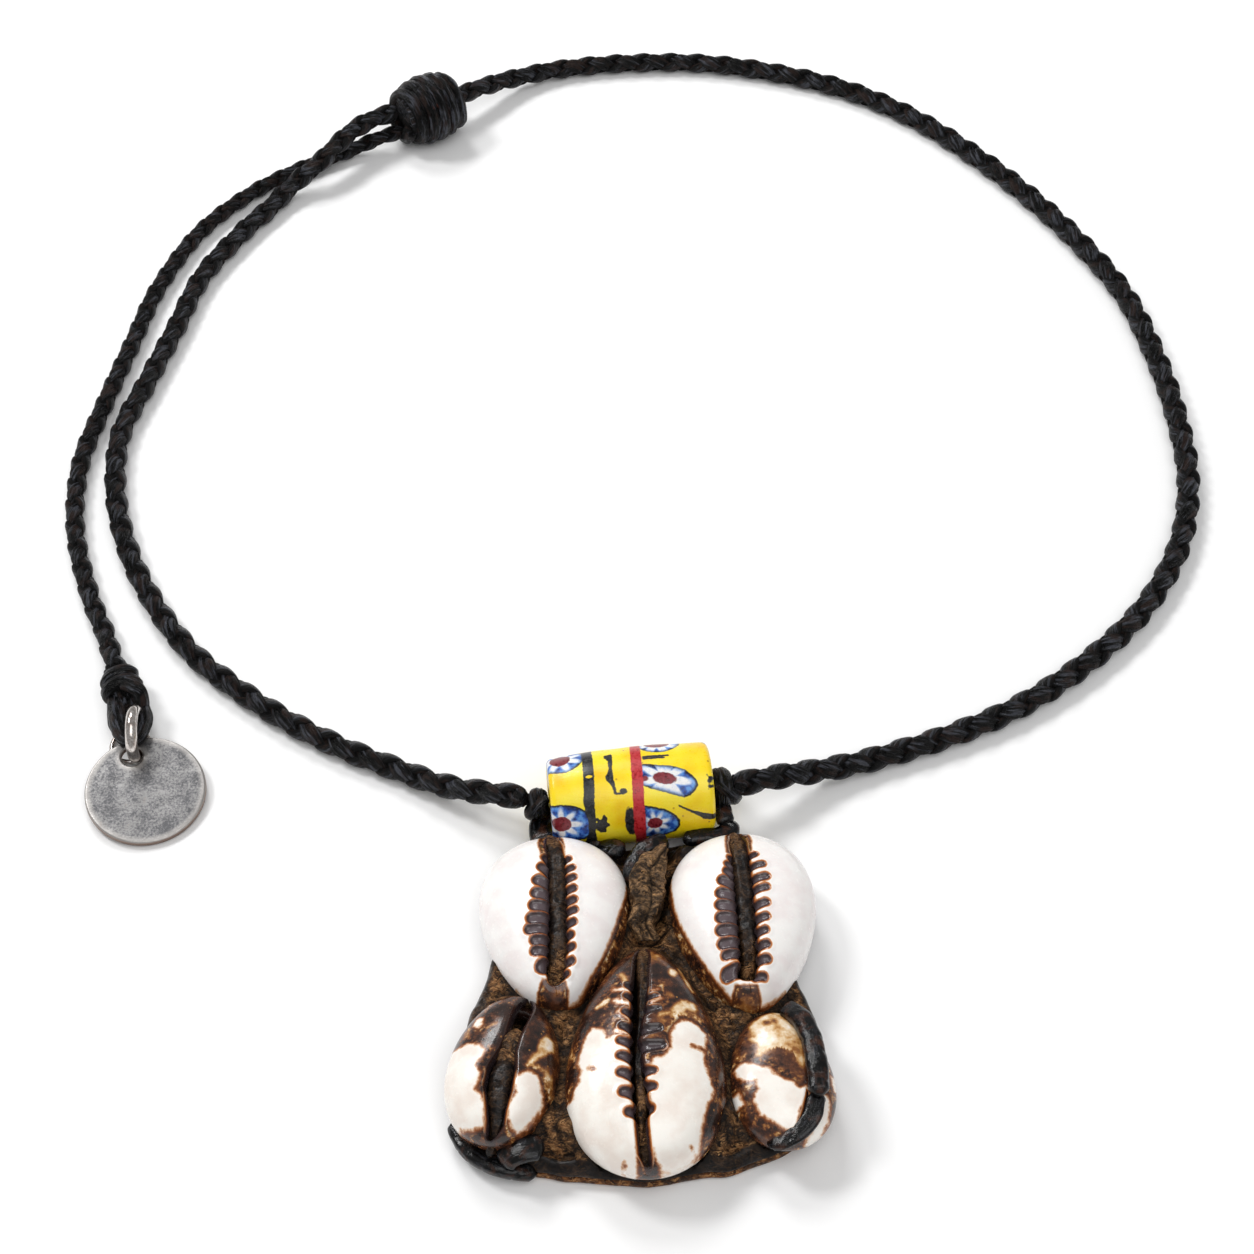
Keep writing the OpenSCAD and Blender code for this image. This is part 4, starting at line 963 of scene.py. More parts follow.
def enamel(name, white, blush, blur):
    """Cowrie enamel: aragonite, as smooth and glossy as glazed porcelain and slightly see-through,
    with brown colour in its outer layer. `pale` is the depth into white enamel, into which brown
    fades over `blur` mm each way. `tone` lightens the brown, `tooth` is the depth in a groove
    between teeth, and `inside` the way into the slit, where the colour is painted dark brown as
    shade."""
    m = finish_named(name)
    mm = in_mm(m)
    soft = add(m, "TexNoise", {"Vector": mm, "Scale": 0.35, "Detail": 3.0})
    fine = add(m, "TexNoise", {"Vector": mm, "Scale": 1.3, "Detail": 4.0, "Roughness": 0.6})
    dots = add(m, "TexVoronoi", {"Vector": mm, "Scale": 0.8})
    mark = {key: add(m, "Attribute", attribute_name=key, out="Fac")
            for key in ("pale", "tone", "tooth", "inside")}
    wander = add(m, "MapRange", {0: fine, 1: 0.3, 2: 0.7, 3: -0.6 * blur + 0.13, 4: 0.6 * blur - 0.13})
    tone = add(m, "Math", {0: mark["tone"], 1: wander})
    drift = add(m, "MapRange", {0: soft, 1: 0.3, 2: 0.7, 3: -0.28, 4: 0.28})
    tone = add(m, "Math", {0: tone, 1: drift})
    beside = add(m, "MapRange", {0: mark["pale"], 1: -1.5, 2: -0.4})
    amber = add(m, "MapRange", {0: fine, 1: 0.47, 2: 0.62, 4: 0.5})
    tone = add(m, "Math", {0: beside, 1: amber, 2: tone}, operation="MULTIPLY_ADD")
    tone = add(m, "MapRange", {0: tone, 1: -0.3, 2: 1.2})
    brown = add(m, "ValToRGB", {0: tone}, [
        (0.06, paint("#1c100d")), (0.22, paint("#341d14")), (0.36, paint("#5f351e")),
        (0.5, paint("#96602e")), (0.62, paint("#c99b62")), (0.76, paint("#ead3b0")),
        (0.9, paint("#f6ebdf"))])
    flecks = add(m, "ValToRGB", {0: dots}, [(0.07, (0.8, 0.8, 0.8, 1)), (0.13, (0, 0, 0, 1))])
    brown = add(m, "Mix", {0: flecks, 6: brown, 7: paint("#a8743c")}, data_type="RGBA", out=2)
    clean = add(m, "ValToRGB", {0: soft}, [(0.35, paint(blush)), (0.6, paint(white))])
    pale = add(m, "Math", {0: mark["pale"], 1: wander})
    ring = add(m, "MapRange", {0: pale, 1: -blur, 2: blur})
    border = add(m, "ValToRGB", {0: ring},
                 [(0.05, paint("#351c14")), (0.3, paint("#5e3116")), (0.47, paint("#94552a")),
                  (0.64, paint("#dcb491")), (0.85, paint(white))])
    to_border = add(m, "MapRange", {0: pale, 1: -blur, 2: -0.2})
    colour = add(m, "Mix", {0: to_border, 6: brown, 7: border}, data_type="RGBA", out=2)
    to_clean = add(m, "MapRange", {0: pale, 1: 0.1, 2: blur + 0.1})
    colour = add(m, "Mix", {0: to_clean, 6: colour, 7: clean}, data_type="RGBA", out=2)
    frill = add(m, "MapRange", {0: fine, 1: 0.3, 2: 0.7, 3: -0.05, 4: 0.05})
    tooth = add(m, "Math", {0: mark["tooth"], 1: frill})
    ring = add(m, "MapRange", {0: tooth, 1: -0.3, 2: 0.5})
    groove = add(m, "ValToRGB", {0: ring},
                 [(0.05, paint("#ecd0b2")), (0.16, paint("#cb8448")), (0.28, paint("#a55a26")),
                  (0.4, paint("#613420")), (0.52, paint("#3a2a2a")), (0.9, paint("#574a4e"))])
    deep = add(m, "ValToRGB", {0: ring},
               [(0.1, paint("#3a2018")), (0.4, paint("#2b1a17")), (0.55, paint("#2a2022")),
                (0.9, paint("#43383b"))])
    on_white = add(m, "MapRange", {0: pale, 1: -0.7, 2: 0.0})
    groove = add(m, "Mix", {0: on_white, 6: deep, 7: groove}, data_type="RGBA", out=2)
    to_groove = add(m, "MapRange", {0: tooth, 1: -0.3, 2: -0.2})
    colour = add(m, "Mix", {0: to_groove, 6: colour, 7: groove}, data_type="RGBA", out=2)
    # Painted shade: dark brown past the lip, down into the slit and the hollow
    into = add(m, "MapRange", {0: mark["inside"], 1: 0.1, 2: 0.7})
    colour = add(m, "Mix", {0: into, 6: colour, 7: paint("#2a1812")}, data_type="RGBA", out=2)
    relief = add(m, "Math", {0: soft, 1: fine})
    bump = add(m, "Bump", {"Height": relief, "Strength": 0.12, "Distance": 0.0003})
    rough = add(m, "MapRange", {0: fine, 1: 0.3, 2: 0.7, 3: 0.16, 4: 0.3})
    glaze = add(m, "BsdfPrincipled", {
        "Base Color": colour, "Roughness": rough, "IOR": 1.55, "Subsurface Weight": 0.06,
        "Subsurface Radius": (1.0, 0.8, 0.7), "Subsurface Scale": 0.0004, "Normal": bump})
    add(m, "OutputMaterial", {"Surface": glaze})
    return m


white_enamel = enamel("white_cowrie_enamel", "#f9f6f3", "#f2eae8", 0.35)
spotted_enamel = enamel("spotted_cowrie_enamel", "#f9f4ec", "#efe4da", 0.5)


def set_shell(key, grid, x, y, past, pale, tone, tooth, material, slot):
    """Cuts the grooves and ripples into a shell's grid and makes the piece."""
    tooth = np.maximum(tooth, np.where(past > -3, 0.28 + past, -9.0))
    depth = np.clip(tooth / 0.4, 0, 1)
    ridge = np.exp(-((tooth + 0.3) / 0.25) ** 2)
    on_top = np.clip((grid[..., 2] - shell_low - 1.5) / 2, 0, 1) * (past < 0.1)
    grid = grid.copy()
    grid[..., 2] += on_top * (0.1 * ridge - 0.3 * depth * depth * (3 - 2 * depth)
                              + 0.07 * lumps(x, y, 4.5, 31))
    # The mark `inside`, past the lip into the slit, is painted dark as shade
    return skin("cowrie_shell_" + key, [grid], material, slot, ("cowrie_" + key,), loop=True,
                pale=[pale], tone=[tone], tooth=[tooth], inside=[np.where(past > 0, past, -1.0)])


def margin(shell, x, y, side, rows):
    """Depth into the white inside a brown margin: it begins at the given share of the way out,
    which changes along the shell as (place along, share), on one side only."""
    share, reach = share_of(shell, x, y)
    table = np.asarray(rows, float)
    return np.where(x * side > 0, (np.interp(y / (shell[3] / 2), table[:, 0], table[:, 1]) - share) * reach,
                    9.0)


def mm_points(corners):
    """Places in mm from shares of the half width `w` and the half length `h` of the shell at hand,
    where the pattern's middle lies `off` mm below the shell's."""
    return [(u * w, v * h - off) for u, v in corners]


def field(corners):
    """The depth inside a patch with such corners."""
    return depth_in(mm_points(corners), x, y)


def line_in(points, half):
    """The depth inside a line through such places."""
    return streak(mm_points(points), half, x, y)


def lightened(streaks):
    """How much each streak of (line, half width, soft edge, strength) lightens the brown."""
    return [np.clip(line_in(line, half) / soft, 0, 1) * value for line, half, soft, value in streaks]


def inside_margins(margins, brown):
    """Depth into an upper shell's white: inside its brown margins and outside its brown patches."""
    return np.minimum.reduce([margin(shell, x, y, side, rows) for side, rows in margins]
                             + [-field(corners) for corners in brown])


# Upper left: white, ten long grooves on the left of the slit and eleven short ones on its right
shell = nets["upper_left"]
w, h, off = shell[4] / 2, shell[3] / 2, 0
grooves = teeth(shell, [
    (0.58, -0.12, 0.0, 0.58, 0.9), (0.44, -0.18, 0.0, 0.72, 0.9), (0.27, -0.25, 0.0, 0.84, 0.6),
    (0.11, -0.28, 0.0, 0.84, 0.3), (-0.04, -0.31, -0.02, 0.82, 0.1), (-0.19, -0.35, -0.03, 0.8, 0.0),
    (-0.31, -0.38, -0.05, 0.68, 0.0), (-0.435, -0.31, -0.06, 0.68, 0.0), (-0.55, -0.31, -0.07, 0.64, 0.0),
    (-0.715, -0.25, -0.1, 0.84, -0.3), (0.55, 0.29, 0.16, 0.42, 0.3), (0.42, 0.34, 0.17, 0.46, 0.3),
    (0.29, 0.35, 0.17, 0.48, 0.3), (0.15, 0.345, 0.17, 0.5, 0.25), (0.01, 0.345, 0.17, 0.52, 0.2),
    (-0.11, 0.345, 0.17, 0.48, 0.2), (-0.25, 0.32, 0.17, 0.5, 0.2), (-0.39, 0.28, 0.16, 0.48, 0.2),
    (-0.52, 0.29, 0.15, 0.46, 0.2), (-0.67, 0.28, 0.14, 0.46, 0.2), (-0.79, 0.2, 0.1, 0.36, 0.1)])
grid, x, y, past = cowrie_surface("upper_left", [
    (-0.97, -0.08, 0.03), (-0.86, -0.1, 0.09), (-0.7, -0.08, 0.13), (-0.5, -0.06, 0.17), (0, -0.01, 0.18),
    (0.5, 0, 0.18), (0.8, -0.03, 0.14), (0.97, -0.02, 0.05)], reach=(-0.79, 0.965), grooves=grooves)
pale = inside_margins(
    [(1, [(-1, 1.08), (-0.8, 1.0), (-0.5, 0.96), (-0.3, 0.94), (-0.05, 0.95), (0.15, 1.0), (0.35, 1.04),
          (0.5, 1.3)]),
     (-1, [(-1, 1.08), (-0.8, 1.05), (-0.6, 1.3)])],
    [[(-0.12, 0.6), (0.02, 0.56), (0.2, 0.6), (0.2, 0.78), (0.14, 1.05), (-0.12, 1.05), (-0.16, 0.8)],
     [(-0.16, -0.84), (0.13, -0.83), (0.17, -0.95), (0.16, -1.2), (-0.26, -1.2), (-0.24, -0.95)]])
tone = 0.12 + 0.35 * field([(-0.1, -0.9), (0.08, -0.9), (0.1, -1.1), (-0.15, -1.1)]).clip(0, 1)
set_shell("upper_left", grid, x, y, past, pale, tone, grooves(x, y), white_enamel, "white_shell")

# Upper right: white with a golden-brown left margin
shell = nets["upper_right"]
w, h, off = shell[4] / 2, shell[3] / 2, 0
grooves = teeth(shell, [
    (0.56, -0.2, -0.1, 0.48, 0.7), (0.47, -0.25, -0.12, 0.52, 0.8), (0.38, -0.28, -0.12, 0.6, 0.9),
    (0.265, -0.37, -0.12, 0.78, 0.8), (0.11, -0.41, -0.12, 0.82, 0.4), (-0.03, -0.43, -0.12, 0.82, 0.2),
    (-0.17, -0.44, -0.12, 0.8, 0.1), (-0.31, -0.45, -0.12, 0.8, 0.0), (-0.45, -0.44, -0.12, 0.74, -0.1),
    (-0.57, -0.4, -0.13, 0.62, -0.2), (-0.75, -0.42, -0.17, 0.9, -0.4), (0.59, 0.24, 0.08, 0.42, 0.2),
    (0.45, 0.33, 0.09, 0.48, 0.3), (0.29, 0.37, 0.09, 0.55, 0.4), (0.16, 0.35, 0.09, 0.5, 0.4),
    (-0.02, 0.33, 0.09, 0.55, 0.4), (-0.18, 0.31, 0.09, 0.54, 0.3), (-0.33, 0.28, 0.09, 0.52, 0.2),
    (-0.48, 0.29, 0.09, 0.52, 0.2), (-0.63, 0.28, 0.08, 0.55, 0.1), (-0.8, 0.21, 0.05, 0.5, 0.0)])
grid, x, y, past = cowrie_surface("upper_right", [
    (-0.97, -0.14, 0.0), (-0.86, -0.17, 0.04), (-0.7, -0.16, 0.07), (-0.5, -0.12, 0.1), (0, -0.11, 0.1),
    (0.5, -0.1, 0.1), (0.8, -0.12, 0.08), (0.97, -0.07, 0.01)], reach=(-0.75, 0.965), grooves=grooves)
pale = inside_margins(
    [(-1, [(-1, 1.04), (-0.8, 0.99), (-0.6, 0.96), (-0.3, 0.965), (0, 0.985), (0.3, 1.01), (0.5, 1.04),
           (0.7, 1.3)]),
     (1, [(-1, 1.04), (-0.85, 1.04), (-0.6, 1.3)])],
    [[(-0.2, 0.62), (-0.05, 0.58), (0.15, 0.62), (0.18, 0.8), (0.12, 1.05), (-0.14, 1.05), (-0.2, 0.8)],
     [(-0.24, -0.86), (0.06, -0.87), (0.1, -0.97), (0.12, -1.2), (-0.34, -1.2), (-0.3, -0.97)]])
tone = 0.12 + 0.25 * field([(-0.2, -0.93), (0, -0.93), (0.05, -1.1), (-0.25, -1.1)]).clip(0, 1)
set_shell("upper_right", grid, x, y, past, pale, tone, grooves(x, y), white_enamel, "white_shell")

# Centre: brown with two large white fields below, and short pale ridges beside the slit above
shell = nets["centre"]
off = 0.5                                     # mm that the pattern's middle lies below the shell's
grooves = teeth(shell, [
    (0.53, -0.26, -0.15, 0.5, 0.3), (0.43, -0.27, -0.15, 0.5, 0.3), (0.28, -0.3, -0.15, 0.55, 0.4),
    (0.14, -0.33, -0.15, 0.62, 0.4), (0.01, -0.36, -0.15, 0.68, 0.4), (-0.12, -0.36, -0.15, 0.7, 0.4),
    (-0.26, -0.36, -0.15, 0.75, 0.4), (-0.42, -0.33, -0.12, 0.85, 0.2), (-0.58, -0.26, -0.09, 0.75, 0.0),
    (0.12, 0.22, -0.03, 0.65, 0.3), (-0.03, 0.27, -0.08, 0.8, 0.3), (-0.25, 0.15, -0.02, 0.65, 0.0),
    (-0.38, 0.15, 0.0, 0.65, 0.0), (-0.55, 0.12, 0.03, 0.75, 0.0), (0.3, 0.2, 0.0, 0.5, 0.3),
    (0.42, 0.18, 0.02, 0.4, 0.3)], off, point=0.3)
grid, x, y, past = cowrie_surface("centre", [
    (-0.97, 0.0, 0.08), (-0.9, -0.07, 0.06), (-0.7, -0.1, 0.02), (-0.55, -0.12, 0.03), (-0.4, -0.14, 0),
    (-0.2, -0.16, -0.04), (-0.03, -0.16, -0.09), (0.1, -0.16, -0.06), (0.3, -0.16, 0), (0.5, -0.15, 0.03),
    (0.8, -0.12, 0.05), (0.97, -0.05, 0.02)], lip=1.2, grooves=grooves)
w, h = shell[4] / 2, shell[3] / 2 * 14.5 / 15
fields = [
    [(-0.53, 0.14), (-0.67, 0.17), (-0.76, 0.09), (-0.81, -0.02), (-0.85, -0.12), (-0.81, -0.2),
     (-0.83, -0.3), (-0.88, -0.34), (-0.92, -0.42), (-1.1, -0.45), (-1.1, -1.1), (-0.08, -1.1),
     (-0.1, -0.85), (-0.12, -0.65), (-0.17, -0.5), (-0.18, -0.3), (-0.19, -0.1), (-0.19, 0.02),
     (-0.3, 0.06), (-0.4, 0.07), (-0.48, 0.05), (-0.5, 0.1)],
    [(0.32, 0.07), (0.38, 0.15), (0.47, 0.22), (0.58, 0.22), (0.68, 0.19), (0.77, 0.13), (0.79, 0.05),
     (0.76, -0.01), (0.75, -0.13), (0.8, -0.25), (0.87, -0.36), (0.83, -0.45), (0.77, -0.52), (0.73, -0.63),
     (0.68, -0.85), (0.55, -0.93), (0.36, -1.0), (0.2, -1.0), (0.15, -0.95), (0.1, -0.88), (0.04, -0.84),
     (0.02, -0.69), (0.03, -0.62), (0.08, -0.55), (0.05, -0.47), (0, -0.43), (0, -0.32), (0.1, -0.15),
     (0.26, -0.11), (0.33, -0.05)]]
pale = np.maximum.reduce([field(f) for f in fields] + [line_in(line, half) for line, half in (
    ([(-0.38, 0.52), (-0.19, 0.49)], 0.32), ([(-0.38, 0.4), (-0.19, 0.36)], 0.35),
    ([(-0.33, 0.29), (-0.19, 0.23)], 0.3), ([(-0.36, 0.1), (-0.19, 0.08)], 0.3),
    ([(0.1, 0.485), (0.17, 0.5)], 0.12), ([(0.1, 0.37), (0.22, 0.41)], 0.15))])
tone = 0.06 + 0.12 * lumps(x, y, 2.6, 41) + np.maximum.reduce(lightened((
    ([(-0.6, 0.37), (-0.45, 0.42)], 0.5, 0.35, 0.75), ([(-0.3, 0.68), (-0.25, 0.6)], 0.6, 0.5, 0.6),
    ([(0.4, 0.3), (0.5, 0.38), (0.6, 0.38)], 1.0, 0.6, 0.8), ([(0.37, 0.72), (0.36, 0.7)], 0.8, 0.5, 0.8),
    ([(0.45, 0.8), (0.62, 0.55)], 0.5, 0.5, 0.6), ([(0.33, 0.46), (0.34, 0.44)], 0.6, 0.5, 0.55),
    ([(0.2, 0.25), (0.33, 0.28)], 0.45, 0.4, 0.5), ([(-0.7, -0.2), (-0.66, -0.22)], 0.5, 0.4, 0.5),
    ([(-0.15, 0.93), (-0.4, 0.75)], 0.7, 0.8, 0.3), ([(0.1, 0.93), (0.3, 0.85)], 0.7, 0.8, 0.3),
    ([(0.68, -0.02), (0.76, -0.05)], 0.5, 0.4, 0.5), ([(-0.25, 0.55), (-0.23, 0.2)], 0.8, 0.9, 0.3))))
spots = np.maximum.reduce([line_in([a, b], half) for a, b, half in (
    ((-0.7, -0.2), (-0.62, -0.22), 0.28), ((-0.26, -0.96), (-0.25, -0.96), 0.25),
    ((0.57, -0.83), (0.58, -0.83), 0.22), ((0.6, -0.02), (0.78, -0.04), 0.35))])
pale = np.where(spots > -0.2, np.minimum(pale, 0.32 - 0.8 * (spots + 0.2)), pale)
set_shell("centre", grid, x, y, past, pale, tone, grooves(x, y), spotted_enamel, "spotted_shell")

# Lower left: small and worn, a white field on each side of a dark plug of hide
shell = nets["lower_left"]
grid, x, y, past = cowrie_surface("lower_left", [
    (-0.97, 0, 0.08), (-0.8, -0.02, 0.2), (-0.6, -0.1, 0.2), (-0.4, -0.2, 0.22), (-0.15, -0.2, 0.2),
    (0.1, -0.08, 0.12), (0.3, -0.03, 0.13), (0.6, -0.03, 0.2), (0.8, 0, 0.22), (0.97, 0.05, 0.15)], lip=1.3)
w, h, off = shell[4] / 2, shell[3] / 2, 0
fields = [
    [(-1.1, 0.05), (-0.9, 0.06), (-0.72, 0.1), (-0.48, 0.09), (-0.36, 0.03), (-0.36, -0.06), (-0.48, -0.19),
     (-0.33, -0.27), (-0.33, -0.38), (-0.37, -0.48), (-0.23, -0.55), (-0.15, -0.66), (-0.1, -0.78),
     (-0.1, -0.87), (-0.2, -0.91), (-0.35, -0.92), (-0.6, -0.9), (-1.1, -0.8)],
    [(0.28, -0.22), (0.4, -0.16), (0.52, -0.13), (0.63, -0.15), (0.71, -0.24), (0.78, -0.35), (0.82, -0.46),
     (0.79, -0.55), (0.7, -0.66), (0.6, -0.78), (0.48, -0.85), (0.38, -0.83), (0.29, -0.74), (0.24, -0.64),
     (0.29, -0.53), (0.34, -0.43), (0.28, -0.35), (0.25, -0.28)]]
pale = np.maximum.reduce([field(f) for f in fields]
                         + [line_in([(-0.62, 0.45), (-0.62, 0.4)], 0.6),
                            line_in([(-0.55, 0.75), (-0.54, 0.75)], 0.3)])
cream = field([(0.6, 0.45), (0.75, 0.38), (0.8, 0.25), (0.7, 0.12), (0.6, 0.05), (0.48, -0.08), (0.4, -0.1),
               (0.42, 0), (0.5, 0.15), (0.5, 0.3)])
tone = 0.05 + 0.12 * lumps(x, y, 2.0, 43) + np.maximum.reduce(
    [np.clip(cream / 0.5 + 0.3, 0, 1) * 0.75]
    + lightened((([(0.8, -0.12), (0.9, -0.3)], 0.9, 0.7, 0.42),
                 ([(-0.75, 0.25), (-0.8, 0.2)], 0.6, 0.7, 0.35),
                 ([(-0.3, 0.42), (-0.4, 0.35)], 0.5, 0.5, 0.4),
                 ([(-0.5, 0.9), (-0.15, 0.97)], 0.5, 0.5, 0.5))))
no_teeth = -9.0
set_shell("lower_left", grid, x, y, past, pale, tone, no_teeth, spotted_enamel, "spotted_shell")

# Lower right: the smallest, tipped on its side, so its slit is a short dark groove at the right
shell = nets["lower_right"]
grid, x, y, past = cowrie_surface("lower_right", [
    (-0.97, -0.17, -0.15), (-0.9, 0.07, 0.09), (-0.8, 0.21, 0.23), (-0.62, 0.32, 0.34), (-0.43, 0.41, 0.43)],
    reach=(-0.95, -0.4), lip=0.8)
w, h = shell[4] / 2, shell[3] / 2
pale = np.maximum.reduce([field(f) for f in (
    [(-0.87, 0.13), (-0.76, 0.2), (-0.62, 0.2), (-0.5, 0.15), (-0.36, 0.08), (-0.23, 0.05), (-0.17, -0.01),
     (-0.12, -0.08), (0.02, -0.15), (0.15, -0.21), (0.27, -0.3), (0.4, -0.3), (0.46, -0.39), (0.38, -0.47),
     (0.23, -0.6), (0.17, -0.7), (0.1, -0.85), (0, -0.86), (-0.15, -0.84), (-0.28, -0.75), (-0.43, -0.67),
     (-0.53, -0.6), (-0.58, -0.5), (-0.6, -0.42)],
    [(0.63, -0.4), (0.8, -0.42), (0.82, -0.55), (0.75, -0.75), (0.5, -0.98), (0.2, -1.08), (0.22, -1.0),
     (0.38, -0.87), (0.48, -0.75), (0.58, -0.6)],
    [(0.92, -0.1), (1.1, -0.1), (1.1, -0.35), (0.94, -0.35)],
    [(-1.1, -0.2), (-0.85, -0.2), (-0.78, -0.4), (-1.1, -0.42)])])
stain = field([(-0.92, -0.06), (-0.8, -0.08), (-0.52, -0.12), (-0.5, -0.24), (-0.58, -0.3), (-0.6, -0.38),
               (-0.67, -0.42), (-0.75, -0.4), (-0.72, -0.26), (-0.83, -0.22), (-0.95, -0.17)])
pale = np.minimum(pale, -stain)
top = field([(-0.5, 0.55), (-0.45, 0.8), (-0.2, 0.95), (0.2, 1.05), (0.4, 0.9), (0.55, 0.6), (0.55, 0.3),
             (0.5, 0.05), (0.42, -0.1), (0.3, 0.1), (0.1, 0.22), (-0.15, 0.28), (-0.3, 0.2), (-0.45, 0.25),
             (-0.4, 0.45)])
plum = field([(-0.2, 0.25), (0, 0.3), (0.25, 0.22), (0.3, 0), (0.42, -0.15), (0.38, -0.22), (0.2, -0.15),
              (0, -0.1), (-0.1, 0), (-0.15, 0.12)])
dark = np.maximum(line_in([(-0.08, 0.78), (0.08, 0.8)], 0.5), line_in([(-0.42, 0.6), (-0.4, 0.6)], 0.4))
tone = 0.08 + np.clip(top / 0.7 + 0.25, 0, 1) * (0.66 + 0.2 * lumps(x * 1.5 + y, y * 0.5, 1.6, 45))
tone = np.where(plum > -0.3, np.minimum(tone, 0.22 - 0.3 * np.clip(plum, -0.3, 0.3)), tone)
tone = tone - 0.6 * np.clip(dark + 0.2, 0, 1) + 0.42 * np.clip(stain + 0.25, 0, 0.8)
set_shell("lower_right", grid, x, y, past, pale, tone, no_teeth, spotted_enamel, "spotted_shell")

# The strips and thongs: narrow goat leather cut by hand, blackened and polished by wear. The strips
# hold the lower shells, the thongs are knotted through the hide under the bead.
worn_leather = finish_named("worn_black_leather")
m = worn_leather
mm = in_mm(m)
lay = add(m, "Attribute", attribute_name="lay", out="Vector")
grain = add(m, "TexVoronoi", {"Vector": mm, "Scale": 3.2}, feature="DISTANCE_TO_EDGE")
creases = drawn_out(m, lay, (0.5, 2.2, 2.2), detail=4.0, roughness=0.6)
stain = add(m, "TexNoise", {"Vector": mm, "Scale": 0.7, "Detail": 3.0})
colour = add(m, "ValToRGB", {0: creases}, [
    (0.38, paint("#020202")), (0.52, paint("#0c0c0d")), (0.68, paint("#2a2b30"))])
bare = add(m, "ValToRGB", {0: stain}, [(0.51, (0, 0, 0, 1)), (0.66, (0.9, 0.9, 0.9, 1))])
colour = add(m, "Mix", {0: bare, 6: colour, 7: paint("#3c2318")}, data_type="RGBA", out=2)
relief = add(m, "Math", {0: grain, 1: 0.35, 2: creases}, operation="MULTIPLY_ADD")
bump = add(m, "Bump", {"Height": relief, "Strength": 0.8, "Distance": 0.00009})
rough = add(m, "MapRange", {0: stain, 1: 0.35, 2: 0.65, 3: 0.14, 4: 0.28})
leather = add(m, "BsdfPrincipled",
              {"Base Color": colour, "Roughness": rough, "Specular IOR Level": 0.3, "Normal": bump})
add(m, "OutputMaterial", {"Surface": leather})


def leather_piece(name, node, slot, route, wide, thick, seed, extra=()):
    """A strip swept along its route, thinner towards both ends, with soft lumps and creases."""
    grids, lays = [], []
    for number, (path, half, deep) in enumerate([(route, wide, thick)] + list(extra)):
        line, run = line_through(path, 0.14)
        ends = np.clip(np.minimum(run, run[-1] - run) / 0.9, 0.05, 1) ** 0.5
        grid, lay = strand(line, half * ends, deep * ends, 26, square=0.7)
        push = 0.09 * lumps(run[:, None] + 0 * lay[..., 0], lay[..., 1] * 1.3, 1.1, seed + number)
        push = push - 0.12 * np.exp(-(lumps(run[:, None] + lay[..., 1], lay[..., 2], 1.7,
                                            seed + 7) / 0.12) ** 2)
        grids.append(grid + unit(grid - line[:, None]) * (push * ends[:, None])[..., None])
        lays.append(lay)
    return skin(name, grids, worn_leather, slot, (node,), lay=lays)


def on_shell(shell, x, y):
    """A place just over a shell's back."""
    share, _ = share_of(shell, *in_plan(shell, np.array([x]), np.array([y])))
    return [x, y, shell_low + 0.15 + float(dome(shell, share.clip(0, 1))[0])]


round_shell = [on_shell(shells["lower_right"], x, y) for x, y in (
    (20.9, -20.4), (20.6, -22.0), (20.0, -23.6), (18.6, -25.1), (16.8, -25.9), (14.9, -25.8))]
leather_piece("strip_lower_left", "strip_left", "black_leather", [
    [-22.1, -21.4, 2.1], [-21.4, -23.7, 2.3], [-20, -25.6, 2.4], [-18.2, -26.9, 2.4], [-16.2, -27.6, 2.3],
    [-14.2, -27.8, 2.0], [-12.2, -27.6, 1.2]], 1.2, 0.85, 51)
leather_piece("strip_corner_tab", "strip_tab", "black_leather",
              [[-16.3, -27.6, 3.2], [-15.4, -27.0, 4.5], [-13.6, -26.5, 5.1], [-11.3, -26.2, 5.0]], 1.7,
              0.75, 52)
leather_piece("strip_over_shell", "strip_right", "black_leather", [
    [17.5, -8.3, 5.9], [19.2, -10.4, 7.4], [20.3, -13.3, 8.4], [20.8, -16.2, 8.8], [21, -19.1, 8.8],
    [21.0, -21.5, 8.6]], 1.3, 1.0, 53, [(round_shell, 1.15, 0.5)])
leather_piece("thong_knot_left", "thong_left", "thong_leather",
              [[-5.1, 15.6, 3.7], [-4.3, 15.2, 4.8], [-3.2, 14.7, 5.4], [-2.4, 13.7, 5.6]], 1.5, 1.1, 54,
              [([[-11.2, 22.6, 3.4], [-12.4, 20.2, 3.7], [-12.6, 18, 4.2], [-12, 16, 4.6]], 1.7, 1.0),
               ([[-7.5, 17.2, 3.4], [-5.8, 16.8, 4.2], [-4.4, 16.9, 4.2]], 1.2, 1.0)])
leather_piece("thong_loop_centre", "thong_centre", "thong_leather",
              [[3.7, 15.3, 5.9], [2.4, 15.0, 6.9], [0.6, 13.8, 7.2], [-0.7, 11.8, 6.8], [-1.1, 9.4, 5.9]],
              1.2, 0.7, 55)
leather_piece("thong_knot_right", "thong_right", "thong_leather",
              [[12.4, 19.6, 4.6], [11.6, 18.2, 4.6], [9.9, 17.1, 5.1], [7.6, 16.9, 5.3], [5.6, 16.2, 5.3]],
              1.15, 0.95, 56, [([[10.1, 24.2, 3.6], [10.6, 22.2, 4.6], [10.9, 20.4, 5.0],
                                 [11.4, 18.8, 4.6]], 1.25, 0.9)])

# The tag and its rings: a blank cut from silver sheet, filed round, tumbled and antiqued, on a
# thick polished jump ring whose cut ends meet in a fine joint; a thin ring lies round it.
tag_d, tag_thick, hole_d, hole_in = 15.9, 1.0, 2.8, 2.5
tag_at, tag_turn, tag_lean = np.array([-65.3, 26.6]), -65, 6.5


